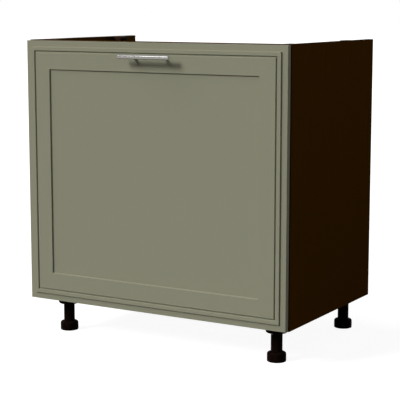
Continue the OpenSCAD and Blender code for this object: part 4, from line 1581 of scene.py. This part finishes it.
@dataclass
class Legs:
    """Four adjustable legs: socket, tube, screw-in foot.

    Attributes:
        foot_r: radius of the foot.
        foot_h: height of the foot.
        foot_round: rounding of the foot's upper edge.
        foot_thread: core radius, outer radius and pitch of the foot's thread.
        thread_top: height at which that thread ends.
        tube_r: radius of the tube.
        socket_r: radius of the socket.
        socket_h: height of the socket.
        socket_round: rounding of the socket's lower edge.
        socket_flat: distance from the leg's axis to the socket's flat side.
        socket_wall: thickness of the socket's wall.
        tube_top: height of the tube's top over the floor.
        axis_x: distance of a leg's axis from the middle.
        depths: depth of the front and the rear legs.
        screw_angles: where the screws are round the leg, in degrees.
        screw_r: distance from the leg's axis to a screw's.
    """

    foot_r: float = 0.0252
    foot_h: float = 0.025
    foot_round: float = 0.006
    foot_thread: Triple = (0.0106, 0.0122, 0.004)
    thread_top: float = 0.075
    tube_r: float = 0.0153
    socket_r: float = 0.029
    socket_h: float = 0.023
    socket_round: float = 0.004
    socket_flat: float = 0.0175
    socket_wall: float = 0.0025
    tube_top: float = 0.097
    axis_x: float = 0.331
    depths: Pair = (0.067, 0.4825)
    screw_angles: Triple = (-90.0, -4.0, 184.0)
    screw_r: float = 0.0228

    @staticmethod
    def axis(corner: tuple[str, int, int]) -> Pair:
        """Returns x and y of a corner's leg."""
        return corner[1] * Legs.axis_x, cab_y(Legs.depths[corner[2]])

    @staticmethod
    def screw_at(corner: tuple[str, int, int], angle: float) -> Pair:
        """Returns x and y of one of a leg's screws, at an angle in degrees."""
        (x, y), off = Legs.axis(corner), Legs.around(angle)
        return x + off[0], y + off[1]

    def socket(self) -> Form:
        """Makes a socket with its lower face at z = 0.

        Returns:
            The socket.
        """
        r, h, flat, wall = self.socket_r, self.socket_h, self.socket_flat, self.socket_wall
        round_r, past, far = self.socket_round, 0.01, 0.05
        body = Form.turned([(0.0, 0.0), *arc((r - round_r, round_r), round_r, -90, 0, 8), (r, h),
                            (0.0, h)], HERE, 72)
        body.cut(Form.block((-far, flat, -past), (far, far, far)))
        hollow = Form.rod(r - wall, wall, h + past, steps=72)
        hollow.cut(Form.block((-far, flat - wall, -past), (far, far, far)),
                   Form.rod(flat, 0.0, far, steps=64),
                   Form.gathered(Form.rod(0.005, 0.0, far, Matrix.Translation(self.around(angle)))
                                 for angle in self.screw_angles))
        body.cut(hollow, Form.rod(self.tube_r + 0.00005, -past, far, steps=64))
        return body.cut(Form.gathered(bore(self.around(angle), UP, PILOT_R, h + ROUGH_CUT, SINK)
                                      for angle in self.screw_angles))

    @staticmethod
    def around(angle: float) -> Triple:
        """Returns where a screw is from its leg's axis, for an angle in degrees."""
        turn = math.radians(angle)
        return Legs.screw_r * math.cos(turn), Legs.screw_r * math.sin(turn), 0.0

    def tube(self) -> Form:
        """Makes a tube in its height above the floor, closed at the top.

        Returns:
            The tube.
        """
        r, low, high = self.tube_r, self.foot_h + 0.0002, self.tube_top
        return Form.turned([(0.0, high), (r - 0.0006, high), (r, high - 0.0006), (r, low + 0.0004),
                            (r - 0.0004, low), (r - 0.0028, low), (r - 0.0028, high - 0.0028),
                            (0.0, high - 0.0028)], HERE, 64)

    def foot(self) -> Form:
        """Makes a foot with its thread, standing on z = 0.

        Returns:
            The foot.
        """
        r, h, round_r = self.foot_r, self.foot_h, self.foot_round
        pad = Form.turned([(0.0, 0.0008), (r - 0.006, 0.0008), (r - 0.0066, 0.0), (r - 0.002, 0.0),
                           (r - 0.0006, 0.0006), (r, 0.002), (r, 0.0045), (r - 0.0003, 0.0048),
                           (r - 0.0003, 0.0052), (r, 0.0055),
                           *arc((r - round_r, h - round_r), round_r, 0, 90, 8), (0.0, h)], HERE, 72)
        return pad.join(Form.thread(*self.foot_thread, (h - 0.001, self.thread_top), HERE, 40))

    def build(self) -> None:
        """Builds the four legs and their screws."""
        socket, tube, foot = self.socket(), self.tube(), self.foot()
        plastic = [LEG_BLACK.material()]
        for corner in CORNERS:
            name, (x, y) = corner[0], self.axis(corner)
            at = Matrix.Translation((x, y, 0.0))
            top = Matrix.Translation((x, y, BASE_Z - self.socket_h))
            socket.copies((top,)).piece(f"{name}_socket", "carcass", plastic, "leg_plastic",
                                        f"leg_socket_{name}")
            tube.copies((at,)).piece(f"{name}_tube", "carcass", plastic, "leg_plastic",
                                     f"leg_tube_{name}")
            foot.copies((at,)).piece(f"{name}_foot", f"foot_{name}", plastic, "leg_plastic",
                                     f"leg_foot_{name}", sharp=30.0)
        Screw(THREAD_R, 0.034, HEAD, Head.FLUSH, plain=0.020).driven(
            (aim((*self.screw_at(corner, angle), BASE_Z - self.socket_h), UP)
             for corner in CORNERS for angle in self.screw_angles),
            "socket_screws", "carcass", "leg_screws")


@dataclass(frozen=True)
class Channel:
    """A rolled channel, given by its distance in from the side board and half its height.

    Attributes:
        web: where the outside of its web is.
        end: where its flanges end.
        half: half its height.
        sheet: thickness of its sheet.
    """

    web: float
    end: float
    half: float
    sheet: float

    def outline(self) -> list[Pair]:
        """Draws its section, with rolled corners.

        Returns:
            The section's outline.
        """
        way = 1.0 if self.end > self.web else -1.0
        t, h = self.sheet, self.half
        bend = arc((t * 1.3, h - t * 1.3), t * 1.3, 90, 180, 4)
        inside = arc((t * 1.3, h - t * 1.3), t * 0.3, 180, 90, 3)
        reach = abs(self.end - self.web)
        upper = [(reach, h), *bend]
        lower = [(a, -b) for a, b in reversed(upper)]
        inner = [(reach, -(h - t)), *[(a, -b) for a, b in reversed(inside)],
                 *inside, (reach, h - t)]
        return [(self.web + way * a, b) for a, b in upper + lower + inner]

    def form(self, start: float, length: float) -> Form:
        """Draws the right one.

        Args:
            start: depth at which it starts.
            length: its length.
        Returns:
            The channel.
        """
        place = axes(spot((INNER_X, start, Runners.height)), LEFT, UP)
        return Form.drawn(self.outline(), place, length)


@dataclass
class Runners:
    """Two three-part ball-bearing runners with full extension.

    Attributes:
        start: depth at which the cabinet members start.
        length: length of a member.
        balls: number of balls in a row.
        cage: length of a cage.
        cage_webs: distance from the side board's face in to the web of each cage, outer and inner.
        cage_sheet: thickness of a cage.
        halves: half the height of the cabinet, middle and drawer member.
        cabinet_slots: depth of each long hole in the cabinet member.
        middle_slots: the same in the middle member.
        drawer_slots: the same in the drawer member.
        height: height of the runners' middle over the floor.
        screw_depths: depth of each screw.
        ball_u: distance from the side board's face in to the balls' middles.
        end_u: the same to the ends of the flanges that point to the drawer.
        middle_u: the same to the middle member's web.
        drawer_u: the same to the drawer member's web, at the drawer's side.
        sheet: thickness of the members' sheet.
        ball_r: radius of a ball.
        wide_row: height of the outer rows of balls off the middle.
        slim_row: the same of the inner rows.
    """

    start: float = 0.002
    length: float = 0.450
    balls: int = 6
    cage: float = 0.150
    cage_webs: Pair = (0.0016, 0.0042)
    cage_sheet: float = 0.0006
    halves: Triple = (0.0228, 0.01755, 0.0123)
    cabinet_slots: Triple = (0.069, 0.197, 0.325)
    middle_slots: Triple = (0.040, 0.227, 0.414)
    drawer_slots: Triple = (0.101, 0.229, 0.357)
    height: float = 0.190
    screw_depths: tuple[float, ...] = (0.037, 0.165, 0.293, 0.421)
    ball_u: float = 0.00805
    end_u: float = 0.011
    middle_u: float = 0.0026
    drawer_u: float = 0.0127
    sheet: float = 0.0012
    ball_r: float = 0.00175
    wide_row: float = 0.019575
    slim_row: float = 0.014325

    def across(self, u: float, depth: float, v: float = 0.0) -> Triple:
        """Returns the point at a distance in from the right side board, a depth and a height."""
        return spot((INNER_X - u, depth, self.height + v))

    def slots(self, u: float, depths: Sequence[float], half: float) -> Form:
        """Returns tools for long holes through a web.

        Args:
            u: outer face of the web.
            depths: the slots' middles.
            half: half the length between a slot's end arcs.
        Returns:
            The tools.
        """
        outline = [*arc((half, 0.0), 0.0022, -90, 90, 6), *arc((-half, 0.0), 0.0022, 90, 270, 6)]
        return Form.gathered(Form.drawn(outline, axes(self.across(u - ROUGH_CUT, d), BACK, DOWN),
                                        self.sheet + 2 * ROUGH_CUT) for d in depths)

    def cabinet_member(self) -> Form:
        """Makes the right cabinet member with its rear stop.

        Returns:
            The member.
        """
        form = Channel(0.0, self.end_u, self.halves[0], self.sheet).form(self.start, self.length)
        rear = self.start + self.length
        tab = Form.block(self.across(self.end_u, rear - self.sheet, -0.008),
                         self.across(0.0005, rear, 0.008), 0.0002)
        holes = [bore(self.across(self.sheet, d), RIGHT, PILOT_R, self.sheet + ROUGH_CUT, LOW_SINK)
                 for d in self.screw_depths]
        form.join(tab).cut(Form.gathered(holes))
        return form.cut(self.slots(0.0, self.cabinet_slots, 0.006))

    def middle_member(self) -> Form:
        """Makes the right middle member.

        Returns:
            The member.
        """
        short = 0.005
        form = Channel(self.middle_u, self.end_u, self.halves[1], self.sheet).form(
            self.start + short, self.length - 2 * short)
        return form.cut(self.slots(self.middle_u, self.middle_slots, 0.009))

    def drawer_member(self) -> Form:
        """Makes the right drawer member.

        Returns:
            The member.
        """
        form = Channel(self.drawer_u, 0.0052, self.halves[2], self.sheet).form(0.0, self.length)
        web = self.drawer_u - self.sheet
        holes = [bore(self.across(web, d), LEFT, PILOT_R, self.sheet + ROUGH_CUT, steps=16)
                 for d in self.screw_depths]
        return form.cut(Form.gathered(holes), self.slots(web, self.drawer_slots, 0.006))

    @property
    def cage_start(self) -> float:
        """Returns the depth at which the cages start."""
        return self.start + self.length / 3

    def ball_depths(self) -> list[float]:
        """Returns the depths of a row's balls."""
        return [self.cage_start + self.cage * (k + 0.5) / self.balls for k in range(self.balls)]

    def cage_form(self, u: float, row: float) -> Form:
        """A right ball cage.

        Args:
            u: where its web is.
            row: height of its rows of balls off the middle.
        Returns:
            The cage.
        """
        form = Channel(u, self.end_u, row + self.cage_sheet / 2, self.cage_sheet).form(
            self.cage_start, self.cage)
        holes = [Form.rod(self.ball_r + 0.0002, 0.0, 0.004,
                          aim(self.across(self.ball_u, d, s * row - 0.002), UP), 20)
                 for d in self.ball_depths() for s in (-1, 1)]
        return form.cut(Form.gathered(holes))

    def ball_rows(self, row: float) -> Form:
        """Makes the balls of a right cage.

        Args:
            row: height of its rows off the middle.
        Returns:
            The balls.
        """
        r = self.ball_r
        ball = Form.turned([(0.0, -r), *arc((0.0, 0.0), r, -75, 75, 10), (0.0, r)], HERE, 20)
        return ball.copies(Matrix.Translation(self.across(self.ball_u, d, s * row))
                           for d in self.ball_depths() for s in (-1, 1))

    def build(self) -> None:
        """Builds both runners."""
        zinc, cage, steel = ([finish.material()] for finish in (RUNNER_ZINC, CAGE_GREY, BALL_STEEL))
        parts = ((self.cabinet_member(), "cabinet_rail", "carcass", zinc, "zinc_steel",
                  "runner_outer"),
                 (self.middle_member(), "middle_rail", "middle", zinc, "zinc_steel",
                  "runner_middle"),
                 (self.drawer_member(), "drawer_rail", "drawer", zinc, "zinc_steel",
                  "runner_inner"),
                 (self.cage_form(self.cage_webs[0], self.wide_row), "wide_cage", "cage_outer", cage,
                  "cage_plastic", "ball_cage_outer"),
                 (self.cage_form(self.cage_webs[1], self.slim_row), "slim_cage", "cage_inner", cage,
                  "cage_plastic", "ball_cage_inner"),
                 (self.ball_rows(self.wide_row), "wide_balls", "cage_outer", steel, "ball_steel",
                  "balls_outer"),
                 (self.ball_rows(self.slim_row), "slim_balls", "cage_inner", steel, "ball_steel",
                  "balls_inner"))
        for form, name, body, materials, slot, node in parts:
            for side, way in SIDES:
                on = body if body in ("carcass", "drawer") else f"{body}_{side}"
                form.copy().on_side(way).piece(
                    f"{side}_{name}", on, materials, slot, f"{node}_{side}")
        Screw(THREAD_R, 0.0122, LOW_HEAD, Head.FLUSH).driven(
            (aim(self.across(self.sheet, d), RIGHT) for d in self.screw_depths),
            "cabinet_rail_screws", "carcass", "runner_outer_screws", mirrored=True)
        Screw(THREAD_R, 0.0122, (0.0035, 0.0022)).driven(
            (aim(self.across(self.drawer_u - self.sheet, d), LEFT) for d in self.screw_depths),
            "drawer_rail_screws", "drawer", "runner_inner_screws", mirrored=True)


@dataclass
class DrawerBox:
    """The box behind the front.

    Attributes:
        side: outer face of a side.
        near: depth at which the box starts, in front of the carcass edges.
        length: length of a side.
        low: height of its lower edge.
        high: height of its upper edge.
        soft: rounding of its boards' edges.
        floor: heights of the floor's two faces.
        groove: depth of the groove that holds the floor.
        corner_heights: heights of the corner screws.
        floor_screws: x of each screw through the floor into the back.
        front_screws: x and height of each screw into the milled front.
    """

    side: float = 0.3713
    near: float = -0.002
    length: float = 0.450
    low: float = 0.130
    high: float = 0.370
    soft: float = 0.0005
    floor: Pair = (0.142, 0.152)
    groove: float = 0.007
    corner_heights: Triple = (0.166, 0.2555, 0.345)
    floor_screws: tuple[float, ...] = (-0.3053, -0.15265, 0.0, 0.15265, 0.3053)
    front_screws: tuple[Pair, ...] = tuple((x, z) for x in (-0.2953, 0.0, 0.2953)
                                           for z in (0.205, 0.310))

    @property
    def inner(self) -> float:
        """Returns the inner face of a side."""
        return self.side - BOARD

    @property
    def back(self) -> float:
        """Returns the depth at which the back starts."""
        return self.near + self.length - BOARD

    def board(self, low: Triple, high: Triple, thin: int, bare: Sequence[int] = ()) -> Form:
        """Returns a board between two corners given as x, depth and height."""
        return Form.block(spot(low), spot(high), self.soft).edges_by_side(thin, bare)

    def corners(self) -> list[Matrix]:
        """Places the right side's corner screws.

        Returns:
            One matrix per screw.
        """
        return [aim(spot((self.side, d, z)), LEFT)
                for d in (self.near + BOARD / 2, self.back + BOARD / 2)
                for z in self.corner_heights]

    def floor_points(self) -> list[Triple]:
        """Returns the points under the floor where its screws go into the back."""
        return [spot((x, self.back + BOARD / 2, self.floor[0])) for x in self.floor_screws]

    def corner_bores(self) -> Form:
        """Gathers what drills for the right side's corner screws.

        Returns:
            The tools.
        """
        profile = [(0.0, -ROUGH_CUT), (0.0053, -ROUGH_CUT), (0.00355, 0.003), (0.00355, BOARD),
                   (0.00255, BOARD), (0.00255, 0.05005), (0.0, 0.05005)]
        return Form.gathered(Form.turned(profile, place, 24, role=Role.CORE)
                             for place in self.corners())

    def groove_tool(self, low: Triple, high: Triple) -> Form:
        """Returns the tool that cuts a groove between two corners."""
        return Form.block(spot(low), spot(high), role=Role.CORE)

    def sides(self) -> None:
        """Builds both sides."""
        f0, f1 = self.floor
        end = self.near + self.length
        form = self.board((self.inner, self.near, self.low), (self.side, end, self.high), 0)
        form.cut(self.groove_tool((self.inner - ROUGH_CUT, self.near + BOARD - self.groove, f0),
                                  (self.inner + self.groove, end + ROUGH_CUT, f1)))
        rails = Form.gathered(bore(spot((self.side, d, Runners.height)), LEFT, PILOT_R,
                                   PILOT_DEEP, steps=16) for d in Runners.screw_depths)
        form.cut(rails, self.corner_bores())
        left = form.copies((MIRROR,))
        for name, board in (("right", form), ("left", left)):
            board.piece(f"{name}_drawer_side", "drawer", grey_board(Run.ALONG_Y), "drawer_board",
                        f"drawer_side_{name}")

    def floor_bores(self) -> Form:
        """Returns the tools for the screws through the floor into the back."""
        return Form.gathered(bore(point, UP, PILOT_R, 0.03505, LOW_SINK, 16)
                             for point in self.floor_points())

    def cross_boards(self) -> None:
        """Builds the box's front board, back and floor."""
        x, inside = self.inner, self.near + BOARD
        f0, f1 = self.floor
        corners = self.corner_bores().both_sides()
        front = self.board((-x, self.near, self.low), (x, inside, self.high), 1, (0,))
        front.cut(self.groove_tool((-x - 0.001, inside - self.groove, f0),
                                   (x + 0.001, inside + ROUGH_CUT, f1)),
                  corners.copy(),
                  Form.gathered(bore(spot((a, self.near, b)), BACK, PILOT_R, BOARD + ROUGH_CUT,
                                     steps=16) for a, b in self.front_screws))
        back = self.board((-x, self.back, f1), (x, self.near + self.length, self.high), 1, (0,))
        back.cut(corners, self.floor_bores())
        reach, play = x + self.groove - 0.0002, inside - self.groove + 0.0002
        floor = self.board((-reach, play, f0), (reach, self.near + self.length, f1), 2, (0, 1))
        floor.cut(self.floor_bores())
        for name, form, node in (("drawer_front_board", front, "drawer_box_front"),
                                 ("drawer_rear_board", back, "drawer_back"),
                                 ("drawer_floor", floor, "drawer_bottom")):
            form.piece(name, "drawer", grey_board(Run.ALONG_X), "drawer_board", node)

    def screws(self) -> None:
        """Builds the box's corner and floor screws."""
        Screw(0.0025, 0.050, (0.005, 0.003), Head.FLUSH, Drive.HEX, plain=BOARD, pitch=0.0025,
              shank=0.0035).driven(self.corners(), "drawer_corner_bolts", "drawer",
                                   "drawer_corner_screws", mirrored=True)
        Screw(THREAD_R, 0.035, LOW_HEAD, Head.FLUSH, plain=0.010).driven(
            (aim(point, UP) for point in self.floor_points()),
            "drawer_floor_screws", "drawer", "drawer_bottom_screws")

    def build(self) -> None:
        """Builds the box."""
        self.sides()
        self.cross_boards()
        self.screws()


@dataclass
class Front:
    """The milled front, its screws and bumpers.

    Attributes:
        half: half its width and half its height.
        middle: height of its middle.
        air: distance of its back from the carcass edges.
        thick: thickness at its frame.
        rim: width of the lowered outer band.
        rim_drop: how far that band is lowered.
        bead: width of the raised bead.
        slope: width of the slope from the band up to the bead.
        groove: width and depth of the groove.
        groove_floor: width of the groove's flat bottom.
        frame: width from the edge to the recessed panel.
        drop: how far the panel lies below the frame.
    """

    half: Pair = (0.398, 0.358)
    middle: float = 0.460
    air: float = 0.002
    thick: float = 0.019
    rim: float = 0.016
    rim_drop: float = 0.0040
    bead: float = 0.011
    slope: float = 0.001
    groove: Pair = (0.0045, 0.0035)
    groove_floor: float = 0.0015
    frame: float = 0.077
    drop: float = 0.0042

    def section(self) -> list[Pair]:
        """Draws the milled section.

        Returns:
            Its points from the back edge to the panel.
        """
        t, step = self.thick, self.thick - self.rim_drop
        start, wide = self.rim + self.bead, self.groove[0]
        side, floor = (wide - self.groove_floor) / 2, t - self.groove[1]
        edge, small = 0.0005, 0.0010
        return [(0.0003, 0.0), (0.0, 0.0003), *self.bend((edge, step - edge), edge, 180, 90),
                (self.rim - 0.0002, step), (self.rim, step + 0.0002),
                *self.bend((self.rim + self.slope + small, t - small), small, 165, 90),
                *self.bend((start - small, t - small), small, 90, 25),
                (start + side, floor), (start + wide - side, floor),
                *self.bend((start + wide + small, t - small), small, 155, 90),
                *self.bend((self.frame - small, t - small), small, 90, 30),
                (self.frame + 0.0014, t - self.drop + 0.0001), (self.frame + 0.0016, t - self.drop)]

    @staticmethod
    def bend(centre: Pair, radius: float, start: float, end: float) -> list[Pair]:
        """Returns a small arc of the section."""
        return arc(centre, radius, start, end, 3)

    def board(self) -> None:
        """Builds the milled board with its holes."""
        place = axes(spot((0.0, -self.air, self.middle)), RIGHT, UP)
        form = Form.framed(self.section(), self.half, place)
        form.cut(Form.gathered(bore(spot((x, -self.air, z)), FORTH, PILOT_R, 0.011, steps=16)
                               for x, z in DrawerBox.front_screws))
        (wide, deep), through = Handle.pocket, self.thick + ROUGH_CUT
        pockets = Form.gathered(Form.turned(
            [(0.0, -ROUGH_CUT), (wide, -ROUGH_CUT), (wide, deep), (PILOT_R, deep),
             (PILOT_R, through), (0.0, through)],
            aim(spot((s * Handle.pitch / 2, -self.air, Handle.height)), FORTH), 24, role=Role.CORE)
            for s in (-1, 1))
        form.cut(pockets).piece("milled_front", "drawer", lacquered(), "front_lacquer",
                                "drawer_front", sharp=24.0)

    def screws(self) -> None:
        """Builds the screws from the box into the front."""
        seat = DrawerBox.near + BOARD
        Screw(THREAD_R, 0.027, HEAD, plain=0.014).driven(
            (aim(spot((x, seat, z)), FORTH) for x, z in DrawerBox.front_screws),
            "front_board_screws", "drawer", "front_screws")

    def bumpers(self) -> None:
        """Builds the soft pads behind the front."""
        pad = Form.turned([(0.0, 0.0), (0.004, 0.0), (0.004, 0.0007),
                           *arc((0.0029, 0.0007), 0.0011, 0, 90, 4), (0.0, 0.0018)], HERE, 32)
        pads = pad.copies(aim(spot((HALF_W - BOARD / 2, -self.air, z)), BACK)
                          for z in (BASE_Z + 0.060, TOP_Z - 0.060)).both_sides()
        pads.piece("front_pads", "drawer", [PAD_CLEAR.material()], "bumper_rubber",
                   "front_bumpers")

    def build(self) -> None:
        """Builds the front."""
        self.board()
        self.screws()
        self.bumpers()


@dataclass
class Handle:
    """The round bar on two posts.

    Attributes:
        length: length of the bar.
        radius: radius of the bar.
        post: radius of a post.
        reach: distance of the bar's axis from the front's face.
        face: depth of the front's face.
        pitch: distance between the posts.
        height: height of the bar's axis over the floor.
        pocket: radius and depth of a screw head's pocket in the front's back.
    """

    length: float = 0.154
    radius: float = 0.006
    post: float = 0.004
    reach: float = 0.0295
    face: float = -0.021
    pitch: float = 0.096
    height: float = 0.782
    pocket: Pair = (0.0045, 0.0026)

    def bar(self) -> None:
        """Builds the bar."""
        r, end, edge = self.radius, self.length / 2, 0.0006
        half = [(0.0, -end), *arc((r - edge, edge - end), edge, -90, 0, 4)]
        profile = half + [(a, -b) for a, b in reversed(half)]
        place = aim(spot((0.0, self.face - self.reach, self.height)), RIGHT)
        form = Form.turned(profile, place, 64)
        form.bm.normal_update()
        for face in form.bm.faces:
            if abs(face.normal.x) > 0.5:
                face.material_index = Role.EDGE.value
        # the bar's steel is darkened: painted shade in its reflection
        form.piece("handle_rod", "drawer", [DARKENED_HANDLE_STEEL.material(), TURNED_STEEL.material()],
                   "handle_steel", "handle_bar")

    def posts(self) -> None:
        """Builds the two posts and their screws."""
        r, tall, soft, far = self.post, self.reach, 0.0003, 0.05
        saddle = Form.rod(self.radius + 0.00005, -far, far, aim((0.0, 0.0, 0.0), RIGHT), 64)
        post = Form.turned([(0.0, 0.0), (r, 0.0), (r, tall - soft), (r - soft, tall),
                            (0.0, tall)], HERE, 48)
        post.cut(saddle, bore((0.0, 0.0, tall), DOWN, PILOT_R, 0.010))
        for side, way in SIDES:
            place = axes(spot((way * self.pitch / 2, self.face - tall, self.height)), RIGHT, DOWN)
            post.copies((place,)).piece(f"{side}_handle_leg", "drawer", [TURNED_STEEL.material()],
                                        "handle_steel", f"handle_post_{side}")
        seat = -Front.air - self.pocket[1]
        Screw(THREAD_R, 0.0254, HEAD, plain=0.012, pitch=0.0008).driven(
            (aim(spot((s * self.pitch / 2, seat, self.height)), FORTH) for s in (-1, 1)),
            "handle_leg_screws", "drawer", "handle_screws")

    def build(self) -> None:
        """Builds the handle."""
        self.bar()
        self.posts()


def main() -> None:
    """Builds the studio and the cabinet."""
    logging.basicConfig(level=logging.INFO, format="%(name)s %(message)s")
    parts = (Studio(), Carcass(), Legs(), Runners(), DrawerBox(), Front(), Handle())
    for part in parts:
        part.build()
    bpy.context.view_layer.update()


if __name__ == "__main__":
    main()
